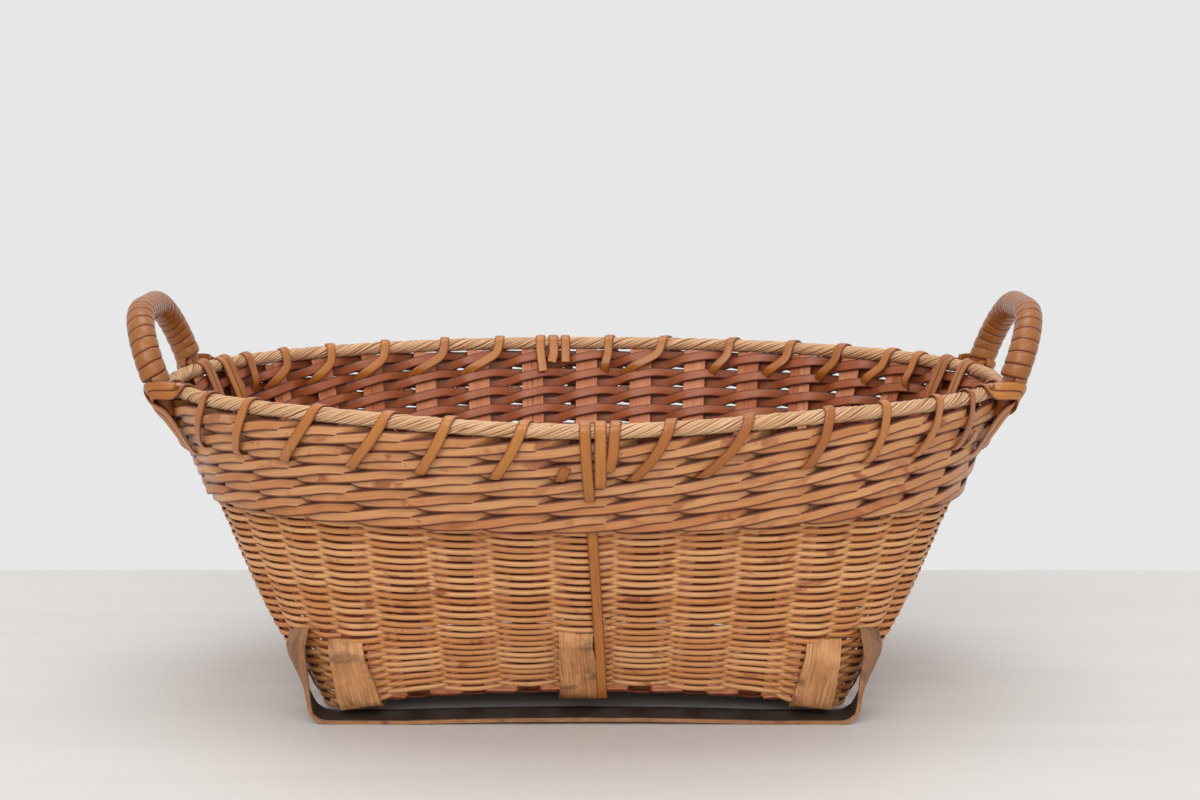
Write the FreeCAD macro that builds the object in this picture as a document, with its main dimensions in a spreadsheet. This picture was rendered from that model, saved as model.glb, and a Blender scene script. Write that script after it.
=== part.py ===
import FreeCAD, Part
import Sketcher
import bisect
import math
import os

# Oval rattan basket, open at the top, woven on flat stakes, with a bound handle at each end.
# The origin is on the floor under its middle: +X to the right handle, -Y to the front, +Z up.

Vector = FreeCAD.Vector

# Lengths in millimetres and angles in degrees
SIZES = {
    # Clearance between pieces that lie against each other
    "clearance": 0.3,
    # Flat stakes: spacing on the base, run and radius of its corners, section, foot bend
    "cross_pitch": 27.75,
    "long_pitch": 27.0,
    "corner_run": 4.0,
    "corner_radius": 14.0,
    "stake_width": 12.5,
    "stake_foot_width": 10.5,
    "corner_stake_foot_width": 4.5,
    "stake_thickness": 1.2,
    "stake_bend": 3.0,
    "edge_splint_width": 4.2,
    "edge_splint_place": 64.3,
    # Swell of the end walls, which stand out of a straight rise most at a low height
    "end_swell": 12.0,
    "end_swell_height": 46.0,
    # Rim: an oval rope on the stakes' tips
    "rim_half_length": 214.5,
    "rim_half_depth": 151.0,
    "rim_height": 162.7,
    "rope_diameter": 6.6,
    # Fine weave, from just above the base to a gap below the wale
    "weave_start": 4.6,
    "weave_gap": 1.1,
    "weave_thickness": 1.8,
    "weave_clearance": 0.9,
    # Wale: four rounds of three flat canes, the highest a drop below the rim
    "wale_cane_width": 5.0,
    "wale_cane_thickness": 2.0,
    "wale_clearance": 0.75,
    "wale_lift": 3.1,
    "wale_cross": 5.3,
    "wale_bulge": 2.1,
    "wale_drop": 10.3,
    "wale_step": 11.6,
    "lashing_gap": 1.4,
    "lashing_clearance": 0.6,
    # Lashing and ties of flat cane
    "lashing_width": 5.2,
    "lashing_thickness": 1.1,
    "tie_tail_drop": 12.5,
    "tie_hook_drop": 10.5,
    "tie_foot_height": 10.5,
    # Bamboo straps under the base, and their clearance from the curved wall
    "strap_clearance": 1.2,
    "long_strap_width": 20.0,
    "long_strap_thickness": 2.6,
    "long_strap_bend": 11.0,
    "long_strap_place": 75.0,
    "long_strap_slope": 67.0,
    "long_strap_top": 44.0,
    "cross_strap_width": 18.0,
    "cross_strap_thickness": 2.4,
    "cross_strap_bend": 14.0,
    "mid_strap_top": 49.0,
    "mid_strap_shift": -5.5,
    "side_strap_top": 42.0,
    "side_strap_inset": 2.0,
    # Handles: a bent core wound with flat cane and bound to the rim
    "core_diameter": 10.5,
    "handle_standoff": 10.0,
    "handle_lean": 20.0,
    "handle_rise": 39.7,
    "handle_bend": 32.0,
    "handle_tail": 13.5,
    "wrap_thickness": 1.5,
    "wrap_start": 6.6,
    "wrap_gap": 0.6,
    "binding_width": 4.8,
    "binding_gap": 0.6,
    "binding_stand": 1.2,
    "binding_cross": 3.0,
    "binding_flank": 3.0,
    "binding_beside": 1.2,
    "scarf_clearance": 1.0,
}

# Counts: stakes on each side of the middle one, and stakes added in each corner
SIDE_REACH = 4
END_REACH = 2
CORNER_STAKES = 2
CORNER_STEP_COUNT = CORNER_STAKES + 1
QUARTER = SIDE_REACH + CORNER_STEP_COUNT + END_REACH
HALF = 2 * QUARTER
STAKES = 4 * QUARTER
SWELL_FROM_STAKE = SIDE_REACH + 1
SWELL_FULL_STAKE = QUARTER - 1
WALE_CANES = 3
WALE_ROUNDS = 4
LASHED_ROUNDS = 2
LOOP_POINTS = 8
WRAP_TURNS = 22
WRAP_FACETS = 7
RIM_SAMPLES = 720
HALVINGS = 30
OUTLINE_POINTS = 2
ROPE_SIDES = 6
CORE_SIDES = 8
BEND_STEPS = 6

# Shares of the spacing between stakes at which lashings, ties and handle feet stand
FOOT_SHARE = 1.5
LASHING_TAIL_SHARE = 0.12
BACK_TIE_SHARE = 0.36
LONG_TIE_SHARE = 0.03
FRONT_TIE_FOOT_SHARE = 0.34
BACK_TIE_FOOT_SHARE = -0.52
SHORT_TIE_SHARE = 0.31
TAIL_TIE_SHARE = 0.49
BINDING_FOOT_SHARE = 0.2
STEP_SHARE = 0.18

# How far the weave may draw in between two stakes, as a share of the room between them
WEAVE_DIP_SHARE = 0.2

# Stations at which each loop of a lashing starts, low outside, and at which it crosses the rope,
# and the station of its end; the back runs are counted from the middle of the back
LASHING_SHARES = {
    "rim_lashing_front_right": (
        ((0.7, 1.26), (1.7, 2.42), (3.3, 3.68), (4.35, 4.66), (5.35, 5.74), (6.33, 6.57)), 6.65),
    "rim_lashing_front_left": (
        ((-6.7, -6.27), (-5.7, -5.28), (-4.68, -4.02), (-3.5, -2.86), (-2.41, -1.93),
         (-1.3, -0.84)), -0.34),
    "rim_lashing_back_left": (
        ((1.3, 1.58), (2.3, 2.6), (3.3, 3.72), (4.35, 4.78), (5.35, 5.73), (6.33, 6.58)), 6.65),
    "rim_lashing_back_right": (
        ((-6.65, -6.47), (-6.33, -5.86), (-5.35, -4.83), (-4.38, -3.86), (-3.3, -2.73), (-2.3, -1.47),
         (-0.7, -0.44)), -0.32),
}

# Distance within which the facets of one skin share their edges
SEAM = 0.0001

doc = FreeCAD.newDocument("RattanBasket")
sheet = doc.addObject("Spreadsheet::Sheet", "Sizes")


def add_size(alias, value):
    """Write a number into the sheet's next row, under its alias."""
    row = str(add_size.rows + 1)
    sheet.set("A" + row, alias)
    sheet.set("B" + row, repr(value))
    sheet.setAlias("B" + row, alias)
    add_size.rows += 1


add_size.rows = 0
for size_alias, size_value in SIZES.items():
    add_size(size_alias, size_value)
doc.recompute()


def size(alias):
    return float(sheet.get(alias))


def sizes(*aliases):
    return [size(alias) for alias in aliases]


def tangent(degrees):
    return math.tan(math.radians(degrees))


def cosine(degrees):
    return math.cos(math.radians(degrees))


def sine(degrees):
    return math.sin(math.radians(degrees))


# Levels and offsets that follow from the sizes
clearance = size("clearance")
stake_half = size("stake_thickness") / 2
mat_step = (size("stake_thickness") + clearance) / 2
long_strap_middle = size("long_strap_thickness") / 2
cross_strap_middle = size("long_strap_thickness") + clearance + size("cross_strap_thickness") / 2
cross_strap_face = cross_strap_middle + size("cross_strap_thickness") / 2
base_height = cross_strap_face + clearance + mat_step + stake_half
base_half_length = SIDE_REACH * size("cross_pitch") + size("corner_run") + size("corner_radius")
base_half_depth = END_REACH * size("long_pitch") + size("corner_run") + size("corner_radius")
rim_half_length, rim_half_depth, rim_height = sizes("rim_half_length", "rim_half_depth", "rim_height")
wall_rise = rim_height - base_height
rope_radius = size("rope_diameter") / 2
weave_half = size("weave_thickness") / 2
weave_middle = stake_half + size("weave_clearance") + weave_half
weave_outside = weave_middle + weave_half
weave_bottom_height = base_height + size("weave_start")
wale_half = size("wale_cane_thickness") / 2
wale_depth = stake_half + size("wale_clearance") + wale_half
wale_outside = size("wale_cross") + size("wale_bulge") + wale_half
wale_inside = wale_depth + wale_half
lashing_half = size("lashing_thickness") / 2
lashing_outside = wale_outside + size("lashing_clearance") + lashing_half
lashing_inside = wale_inside + size("lashing_clearance") + lashing_half
lashing_hoop = rope_radius + clearance + lashing_half


def wale_height(round_number):
    """Middle height of a round of wale; the lashed rounds stand a gap above the others."""
    height = rim_height - size("wale_drop") - (WALE_ROUNDS - 1 - round_number) * size("wale_step")
    if round_number < WALE_ROUNDS - LASHED_ROUNDS:
        height -= size("lashing_gap")
    return height


lashing_bottom = (wale_height(LASHED_ROUNDS - 1) + wale_height(LASHED_ROUNDS)) / 2
wale_foot = wale_height(0) - size("wale_lift") - size("wale_cane_width") / 2
weave_top_height = wale_foot - size("weave_gap")


def ellipse_point(angle):
    """Point of the rim's oval at an angle that starts at the front middle."""
    return Vector(rim_half_length * math.sin(angle), -rim_half_depth * math.cos(angle), 0)


def quarter_lengths():
    """Running length of the oval from the front middle to the right end, at even angles."""
    lengths = [0.0]
    for index in range(RIM_SAMPLES):
        start = ellipse_point(math.pi / 2 * index / RIM_SAMPLES)
        end = ellipse_point(math.pi / 2 * (index + 1) / RIM_SAMPLES)
        lengths.append(lengths[-1] + start.distanceToPoint(end))
    return lengths


rim_lengths = quarter_lengths()


def rim_quarter_point(station):
    """Point of the rim's front right quarter, with stations at even steps along it."""
    wanted = rim_lengths[-1] * station / QUARTER
    index = min(max(bisect.bisect_right(rim_lengths, wanted), 1), RIM_SAMPLES)
    low, high = rim_lengths[index - 1], rim_lengths[index]
    place = index - 1 + (wanted - low) / (high - low)
    return ellipse_point(math.pi / 2 * place / RIM_SAMPLES)


def base_quarter_point(station):
    """Point of the base's front right quarter: a side, a rounded corner and half an end."""
    run, radius = sizes("corner_run", "corner_radius")
    if station <= SIDE_REACH:
        return Vector(station * size("cross_pitch"), -base_half_depth, 0)
    if station >= SIDE_REACH + CORNER_STEP_COUNT:
        return Vector(base_half_length, (station - QUARTER) * size("long_pitch"), 0)
    arc = radius * math.pi / 2
    travel = (station - SIDE_REACH) / CORNER_STEP_COUNT * (2 * run + arc)
    if travel < run:
        return Vector(SIDE_REACH * size("cross_pitch") + travel, -base_half_depth, 0)
    if travel > run + arc:
        return Vector(base_half_length, -END_REACH * size("long_pitch") - 2 * run - arc + travel, 0)
    turn = (travel - run) / radius
    centre = Vector(base_half_length - radius, radius - base_half_depth, 0)
    return centre + Vector(math.sin(turn), -math.cos(turn), 0) * radius


def outline_point(station, quarter_point):
    """Carry a quarter of an outline round all four quarters of the basket."""
    station %= STAKES
    if station > HALF:
        return outline_point(station - HALF, quarter_point) * -1
    if station > QUARTER:
        mirrored = quarter_point(HALF - station)
        return Vector(mirrored.x, -mirrored.y, 0)
    return quarter_point(station)


def end_swell(station, height):
    """How far the wall swells to the left or right: fully at the ends, not along the sides."""
    quarter_station = min(station % HALF, -station % HALF)
    turn = (quarter_station - SWELL_FROM_STAKE) / (SWELL_FULL_STAKE - SWELL_FROM_STAKE) * math.pi / 2
    fullness = math.sin(min(max(turn, 0.0), math.pi / 2)) ** 2
    middle = size("end_swell_height")
    rising = (height - base_height) / (middle - base_height)
    falling = (rim_height - height) / (rim_height - middle)
    side = 1 if station % STAKES < HALF else -1
    return side * size("end_swell") * fullness * min(rising, falling)


def wall_point(station, height):
    """Point of the stakes' middle surface, which rises straight from base to rim but for its swell."""
    foot = outline_point(station, base_quarter_point)
    tip = outline_point(station, rim_quarter_point)
    point = foot + (tip - foot) * ((height - base_height) / wall_rise)
    return Vector(point.x + end_swell(station, height), point.y, height)


class WallFrame:
    """Place on the wall, with unit directions along the round, up the wall and out of it."""

    def __init__(self, station, height):
        self.point = wall_point(station, height)
        behind = wall_point(station - STEP_SHARE, height)
        ahead = wall_point(station + STEP_SHARE, height)
        self.spacing = behind.distanceToPoint(ahead) / (2 * STEP_SHARE)
        self.along = (ahead - behind).normalize()
        self.up = (wall_point(station, rim_height) - wall_point(station, base_height)).normalize()
        self.out = self.along.cross(self.up).normalize()

    def place(self, outward, lift=0.0):
        return self.point + self.out * outward + self.up * lift


def wall_reach(height, depth):
    """Half length of the woven wall's outside at a height and a distance from its long axis."""
    near, far = QUARTER, SIDE_REACH
    for _ in range(HALVINGS):
        middle = (near + far) / 2
        if -WallFrame(middle, height).place(weave_outside).y < depth:
            near = middle
        else:
            far = middle
    return WallFrame(near, height).place(weave_outside).x


def skin(rings, closed):
    """Solid with flat facets through rings of equally many corners; a closed run has no ends."""
    sides = len(rings[0])
    corners = [corner for ring in rings for corner in ring]
    facets = []
    for index in range(len(rings) if closed else len(rings) - 1):
        near, far = index * sides, (index + 1) % len(rings) * sides
        for side in range(sides):
            following = (side + 1) % sides
            facets.append((near + side, near + following, far + following))
            facets.append((near + side, far + following, far + side))
    if not closed:
        end = (len(rings) - 1) * sides
        for side in range(1, sides - 1):
            facets.append((0, side + 1, side))
            facets.append((end, end + side, end + side + 1))
    shell = Part.Shape()
    shell.makeShapeFromMesh((corners, facets), SEAM)
    solid = Part.Solid(shell)
    if solid.Volume < 0:
        solid.reverse()
    return solid


# Shares of width and thickness at the corners of a flat strip
CORNER_SHARES = ((-0.5, -0.5), (0.5, -0.5), (0.5, 0.5), (-0.5, 0.5))


class Strip:
    """Flat strip through points, each with the direction of its width; mitred where it bends."""

    def __init__(self, thickness):
        self.thickness = thickness
        self.points = []
        self.acrosses = []
        self.widths = []

    def add(self, point, across, width):
        self.points.append(point)
        self.acrosses.append(across)
        self.widths.append(width)

    def corners(self, closed):
        """Four corners of each section."""
        last = len(self.points) - 1
        result = []
        for index, point in enumerate(self.points):
            before = self.points[index - 1] if index or closed else point
            after = self.points[(index + 1) % (last + 1)] if index < last or closed else point
            across = self.acrosses[index]
            faces = []
            for start, end in ((before, point), (point, after)):
                if start is not end:
                    faces.append(across.cross(end - start).normalize())
            through = (faces[0] + faces[-1]) * 0.5
            through = through * (1 / through.Length ** 2)
            wide = across * self.widths[index]
            deep = through * self.thickness
            result.append([point + wide * a + deep * b for a, b in CORNER_SHARES])
        return result

    def solid(self, closed=False):
        return skin(self.corners(closed), closed)

    def least_gap(self, apart):
        """Least distance between corners of sections that are at least so many sections apart."""
        sections = self.corners(False)
        return min(
            one.distanceToPoint(other)
            for index, first in enumerate(sections)
            for second in sections[index + apart:]
            for one in first
            for other in second
        )


nodes = {}


def add_node(label, shape, turn=0.0):
    """Keep a shape as a sub-part under its own label, turned about the upright axis."""
    piece = doc.addObject("Part::Feature", label)
    piece.Label = label
    piece.Shape = shape
    piece.Placement = FreeCAD.Placement(Vector(), FreeCAD.Rotation(Vector(0, 0, 1), turn))
    nodes[label] = piece


def origin_plane(body, role):
    for feature in body.Origin.OriginFeatures:
        if feature.Role == role:
            return feature
    raise ValueError("no origin plane " + role)


def add_sketch(body, name, role):
    sketch = body.newObject("Sketcher::SketchObject", name)
    sketch.AttachmentSupport = [(origin_plane(body, role), "")]
    sketch.MapMode = "FlatFace"
    return sketch


def dimension(sketch, alias, kind, *where):
    """Add a dimension that takes its value from the sheet's cell of that alias."""
    value = size(alias)
    if kind == "Angle":
        value = math.radians(value)
    index = sketch.addConstraint(Sketcher.Constraint(kind, *where, value))
    sketch.renameConstraint(index, alias)
    sketch.setExpression("Constraints." + alias, "Sizes." + alias)


def sweep_both_ways(body, profile, path, edges, mirror_role):
    """Sweep a profile along half a path from its middle, and mirror it."""
    pipe = body.newObject("PartDesign::AdditivePipe", body.Name + "_sweep")
    pipe.Profile = profile
    pipe.Spine = (path, edges)
    doc.recompute()
    mirrored = body.newObject("PartDesign::Mirrored", body.Name + "_mirror")
    mirrored.Originals = [pipe]
    mirrored.MirrorPlane = (origin_plane(body, mirror_role), [""])
    body.Tip = mirrored
    doc.recompute()


def add_rectangle(sketch, name):
    """Flat section of a strap, about the upright axis, with its top at a height of the sheet."""
    half = size(name + "_width") / 2
    top = size(name + "_face")
    bottom = top - size(name + "_thickness")
    places = ((-half, bottom), (half, bottom), (half, top), (-half, top))
    corners = [Vector(across, level, 0) for across, level in places]
    for index, corner in enumerate(corners):
        sketch.addGeometry(Part.LineSegment(corner, corners[(index + 1) % len(corners)]))
    for index in range(len(corners)):
        following = (index + 1) % len(corners)
        sketch.addConstraint(Sketcher.Constraint("Coincident", index, 2, following, 1))
    for index, direction in ((1, "Vertical"), (2, "Horizontal"), (3, "Vertical")):
        sketch.addConstraint(Sketcher.Constraint(direction, index))
    sketch.addConstraint(Sketcher.Constraint("Symmetric", 0, 1, 0, 2, -2))
    dimension(sketch, name + "_width", "DistanceX", 0, 1, 0, 2)
    dimension(sketch, name + "_thickness", "DistanceY", 1, 1, 1, 2)
    dimension(sketch, name + "_face", "DistanceY", -1, 1, 2, 1)


def add_strap_path(sketch, name):
    """Half of a strap's middle line: along the floor, round a bend and up against the wall."""
    level, bend, slope = sizes(name + "_middle", name + "_bend", name + "_slope")
    reach, top = sizes(name + "_reach", name + "_top")
    corner = reach - (top - level) / tangent(slope)
    trim = bend * tangent(slope / 2)
    start = Vector(corner - trim, level, 0)
    centre = Vector(corner - trim, level + bend, 0)
    end = Vector(corner + trim * cosine(slope), level + trim * sine(slope), 0)
    circle = Part.Circle(centre, Vector(0, 0, 1), bend)
    quarter_back = -math.pi / 2
    sketch.addGeometry(Part.LineSegment(Vector(0, level, 0), start))
    sketch.addGeometry(Part.ArcOfCircle(circle, quarter_back, quarter_back + math.radians(slope)))
    sketch.addGeometry(Part.LineSegment(end, Vector(reach, top, 0)))
    sketch.addConstraint(Sketcher.Constraint("PointOnObject", 0, 1, -2))
    sketch.addConstraint(Sketcher.Constraint("Horizontal", 0))
    sketch.addConstraint(Sketcher.Constraint("Tangent", 0, 2, 1, 1))
    sketch.addConstraint(Sketcher.Constraint("Tangent", 1, 2, 2, 1))
    dimension(sketch, name + "_middle", "DistanceY", -1, 1, 0, 1)
    dimension(sketch, name + "_bend", "Radius", 1)
    dimension(sketch, name + "_slope", "Angle", 2)
    dimension(sketch, name + "_reach", "DistanceX", -1, 1, 2, 2)
    dimension(sketch, name + "_top", "DistanceY", -1, 1, 2, 2)


def size_cross_strap(name, foot, tip):
    """Write a cross strap's slope and reach into the sheet, from the wall's foot and tip beside it."""
    thickness = size("cross_strap_thickness")
    slope = math.degrees(math.atan2(wall_rise, tip - foot))
    off_wall = (weave_outside + size("strap_clearance") + thickness / 2) / sine(slope)
    reach = foot + (size(name + "_top") - base_height) / tangent(slope) + off_wall
    add_size(name + "_slope", slope)
    add_size(name + "_reach", reach)


def make_strap(label, name, run_role, section_role, place):
    body = doc.addObject("PartDesign::Body", label)
    body.Label = label
    path = add_sketch(body, label + "_path", run_role)
    add_strap_path(path, name)
    profile = add_sketch(body, label + "_section", section_role)
    add_rectangle(profile, name)
    doc.recompute()
    sweep_both_ways(body, profile, path, ["Edge1", "Edge2", "Edge3"], section_role)
    body.Placement = FreeCAD.Placement(place, FreeCAD.Rotation())
    nodes[label] = body


def make_straps():
    """Two long straps rest on the floor, and three cross straps lie on them under the base."""
    side_strap_place = SIDE_REACH * size("cross_pitch") - size("side_strap_inset")
    side_station = (side_strap_place - size("cross_strap_width") / 2) / size("cross_pitch")
    side_tip = -outline_point(side_station, rim_quarter_point).y
    for name in ("mid_strap", "side_strap"):
        for part_name in ("width", "thickness", "bend"):
            add_size(name + "_" + part_name, size("cross_strap_" + part_name))
        add_size(name + "_middle", cross_strap_middle)
        add_size(name + "_face", cross_strap_face)
    add_size("long_strap_middle", long_strap_middle)
    add_size("long_strap_face", size("long_strap_thickness"))
    doc.recompute()
    long_place, long_top = sizes("long_strap_place", "long_strap_top")
    beside = wall_reach(long_top, long_place - size("long_strap_width") / 2)
    off_wall = (size("strap_clearance") + size("long_strap_thickness") / 2) / sine(size("long_strap_slope"))
    add_size("long_strap_reach", beside + off_wall)
    size_cross_strap("mid_strap", base_half_depth, rim_half_depth)
    size_cross_strap("side_strap", base_half_depth, side_tip)
    doc.recompute()
    for label, sign in (("long_strap_front", -1), ("long_strap_back", 1)):
        make_strap(label, "long_strap", "XZ_Plane", "YZ_Plane", Vector(0, sign * long_place, 0))
    shift = Vector(size("mid_strap_shift"), 0, 0)
    make_strap("cross_strap_centre", "mid_strap", "YZ_Plane", "XZ_Plane", shift)
    for label, sign in (("cross_strap_left", -1), ("cross_strap_right", 1)):
        place = Vector(sign * side_strap_place, 0, 0)
        make_strap(label, "side_strap", "YZ_Plane", "XZ_Plane", place)


def stake_tip_height():
    return rim_height - (rope_radius + clearance)


def stake_rise(station, start, foot_width):
    """A stake's rise from a height to its tip, as points with their direction and width across."""
    tip, tip_width = stake_tip_height(), size("stake_width")
    rise = []
    for height in (start, size("end_swell_height"), weave_top_height, tip):
        frame = WallFrame(station, height)
        share = (height - start) / (tip - start)
        rise.append((frame.point, frame.along, foot_width + (tip_width - foot_width) * share))
    return rise


def add_stake_wall(strip, station, sign, upward):
    """A stake's run up the wall with its foot bend, from the base up or from the tip down."""
    foot = WallFrame(station, base_height)
    bend, foot_width = sizes("stake_bend", "stake_foot_width")
    corner = foot.point
    inward = Vector(-corner.x, 0, 0) if abs(foot.out.x) > abs(foot.out.y) else Vector(0, -corner.y, 0)
    flat = corner + inward.normalize() * bend
    rising = wall_point(station, base_height + foot.up.z * bend)
    run = [
        (flat, foot.along, foot_width),
        ((flat + rising) * 0.25 + corner * 0.5, foot.along, foot_width),
    ]
    run += stake_rise(station, rising.z, foot_width)
    for point, along, width in run if upward else reversed(run):
        strip.add(point, along * sign, width)


def add_mat_run(strip, across, travel, crossings, place, over_first):
    """A stake's run through the base, over and under the pieces it crosses."""
    width = strip.widths[-1] if strip.widths else size("edge_splint_width")
    for index, (crossing, crossed_width) in enumerate(crossings):
        level = mat_step if (index + over_first) % 2 else -mat_step
        half_flat = crossed_width / 2 + clearance
        for side in (-half_flat, half_flat):
            point = place + travel * (crossing + side) + Vector(0, 0, base_height + level)
            strip.add(point, across, width)


def make_through_stake(label, stations, across, travel, crossings, place, over_first):
    """Stake that runs down one wall, through the base, and up the other."""
    strip = Strip(size("stake_thickness"))
    first, last = stations
    add_stake_wall(strip, first, 1, False)
    add_mat_run(strip, across, travel, crossings, place, over_first)
    add_stake_wall(strip, last, -1, True)
    add_node(label, strip.solid())


def make_edge_splint(label, travel, crossings, place, over_first):
    """Splint that edges the base on a long side and doesn't turn up."""
    strip = Strip(size("stake_thickness"))
    add_mat_run(strip, Vector(0, 1, 0), travel, crossings, place, over_first)
    add_node(label, strip.solid())


def make_stakes():
    """Nine stakes cross the base, five run its length, and two more stand in each corner."""
    cross_pitch, long_pitch = sizes("cross_pitch", "long_pitch")
    foot_width, edge_width, edge_place = sizes("stake_foot_width", "edge_splint_width", "edge_splint_place")
    long_places = [step * long_pitch for step in range(-END_REACH, END_REACH + 1)]
    cross_places = [step * cross_pitch for step in range(-SIDE_REACH, SIDE_REACH + 1)]
    rows = [(-edge_place, edge_width)] + [(place, foot_width) for place in long_places]
    rows.append((edge_place, edge_width))
    columns = [(place, foot_width) for place in cross_places]
    forward, rightward, leftward = Vector(0, 1, 0), Vector(1, 0, 0), Vector(-1, 0, 0)
    for index, place in enumerate(cross_places):
        step = index - SIDE_REACH
        label = "cross_stake_" + str(index + 1)
        side_place = Vector(place, 0, 0)
        make_through_stake(label, (step, HALF - step), rightward, forward, rows, side_place, index)
    for index, place in enumerate(long_places):
        step = index - END_REACH
        stations = (QUARTER + step, QUARTER + HALF - step)
        label = "long_stake_" + str(index + 1)
        make_through_stake(label, stations, forward, leftward, columns, Vector(0, place, 0), index)
    for label, row in (("edge_splint_front", 0), ("edge_splint_back", len(rows) - 1)):
        make_edge_splint(label, leftward, columns, Vector(0, rows[row][0], 0), row + 1)
    count = 0
    for corner in range(4):
        first = SIDE_REACH if corner % 2 == 0 else QUARTER + END_REACH
        for step in range(1, CORNER_STEP_COUNT):
            station = first + step + HALF * (corner // 2)
            strip = Strip(size("stake_thickness"))
            for point, along, width in stake_rise(
                    station, weave_bottom_height, size("corner_stake_foot_width")):
                strip.add(point, along, width)
            count += 1
            add_node("corner_stake_" + str(count), strip.solid())


def outline_frames(height):
    """Frames all the way round the wall, at even stations."""
    count = STAKES * OUTLINE_POINTS
    return [WallFrame(index / OUTLINE_POINTS, height) for index in range(count)]


def stake_edge(station, height):
    """Half width of a stake at a height, with a clearance beside it."""
    quarter_station = min(station % HALF, -station % HALF)
    in_corner = SIDE_REACH < quarter_station < SIDE_REACH + CORNER_STEP_COUNT
    foot_width = size("corner_stake_foot_width" if in_corner else "stake_foot_width")
    share = (height - base_height) / (stake_tip_height() - base_height)
    return (foot_width + (size("stake_width") - foot_width) * share) / 2 + clearance


def weave_columns(station, heights):
    """The weave's middle at both edges of a stake and halfway to the next, as points with their out."""
    before, after, between = [], [], []
    for height in heights:
        frame = WallFrame(station, height)
        aside = frame.along * stake_edge(station, height)
        before.append((frame.place(weave_middle) - aside, frame.out))
        after.append((frame.place(weave_middle) + aside, frame.out))
        halfway = WallFrame(station + 0.5, height)
        room = halfway.spacing - stake_edge(station, height) - stake_edge(station + 1, height)
        dip = min(weave_middle, room * WEAVE_DIP_SHARE)
        between.append((halfway.place(weave_middle - dip), halfway.out))
    return before, after, between


def make_weave():
    """The finely woven lower wall, as a shell that bulges outside each stake and draws in between."""
    heights = (weave_bottom_height, size("end_swell_height"), weave_top_height)
    rings = []
    for station in range(STAKES):
        for column in weave_columns(station, heights):
            outer = [point + out * weave_half for point, out in column]
            inner = [point - out * weave_half for point, out in reversed(column)]
            rings.append(outer + inner)
    add_node("fine_weave", skin(rings, closed=True))


def make_wale():
    """Each cane passes outside two stakes, rising, then inside one, falling, all the way round."""
    width, lift, cross, bulge = sizes("wale_cane_width", "wale_lift", "wale_cross", "wale_bulge")
    half_stake = size("stake_width") / 2 + size("wale_clearance")
    middle = 0.5
    for round_number in range(WALE_ROUNDS):
        height = wale_height(round_number)
        for cane in range(WALE_CANES):
            strip = Strip(size("wale_cane_thickness"))
            for first in range(cane, STAKES + cane, WALE_CANES):
                knots = (
                    (first, 0, cross, -lift),
                    (first + middle, 0, cross + bulge, 0),
                    (first + 1, 0, cross, lift),
                    (first + 2, -half_stake, -wale_depth, lift),
                    (first + 2, half_stake, -wale_depth, -lift),
                )
                for station, aside, outward, raised in knots:
                    spacing = WallFrame(station, height).spacing
                    frame = WallFrame(station + aside / spacing, height)
                    strip.add(frame.place(outward, raised), frame.up, width)
            label = "wale_" + str(round_number + 1) + "abc"[cane]
            add_node(label, strip.solid(closed=True))


def make_rope():
    """The rim's rope, round an oval on the stakes' tips."""
    rings = []
    for frame in outline_frames(rim_height):
        angles = [2 * math.pi * side / ROPE_SIDES for side in range(ROPE_SIDES)]
        rings.append([frame.place(rope_radius * math.cos(a), rope_radius * math.sin(a)) for a in angles])
    add_node("rim_rope", skin(rings, closed=True))


# Angles round the rope at which a flat cane bends over it, from outside to inside
HOOP_ANGLES = (0.0, 60.0, 120.0, 180.0)


def add_hoop(strip, station, width, inward=True):
    """Carry a flat cane over the rope, from outside to inside or back."""
    hoop = lashing_hoop / cosine((HOOP_ANGLES[1] - HOOP_ANGLES[0]) / 2)
    frame = WallFrame(station, rim_height)
    for angle in HOOP_ANGLES if inward else reversed(HOOP_ANGLES):
        strip.add(frame.place(hoop * cosine(angle), hoop * sine(angle)), frame.along, width)


def add_wall_point(strip, station, height, outward, width):
    frame = WallFrame(station, height)
    strip.add(frame.place(outward), frame.along, width)


def make_lashing(label, loops, end, turn):
    """Flat cane that climbs outside, goes over the rope and comes down inside, in slanted loops."""
    width = size("lashing_width")
    strip = Strip(size("lashing_thickness"))
    shoulder = rim_height - lashing_hoop
    following = [start for start, crest in loops[1:]] + [end]
    for (start, crest), finish in zip(loops, following):
        add_wall_point(strip, start, lashing_bottom, lashing_outside, width)
        add_wall_point(strip, crest, shoulder, lashing_outside, width)
        add_hoop(strip, crest, width)
        add_wall_point(strip, crest, shoulder, -lashing_inside, width)
        add_wall_point(strip, finish, lashing_bottom, -lashing_inside, width)
    add_wall_point(strip, end, lashing_bottom, lashing_outside, width)
    tail = end + LASHING_TAIL_SHARE
    add_wall_point(strip, tail, wale_height(LASHED_ROUNDS), lashing_outside, width)
    add_node(label, strip.solid(), turn)
    print(label, "least gap to itself", round(strip.least_gap(LOOP_POINTS // 2), 2))


def make_lashings():
    """Four runs bind the rope to the upper wale, between the handles and the ties at the middles."""
    for label, (loops, end) in LASHING_SHARES.items():
        make_lashing(label, loops, end, 180 if "back" in label else 0)


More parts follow.
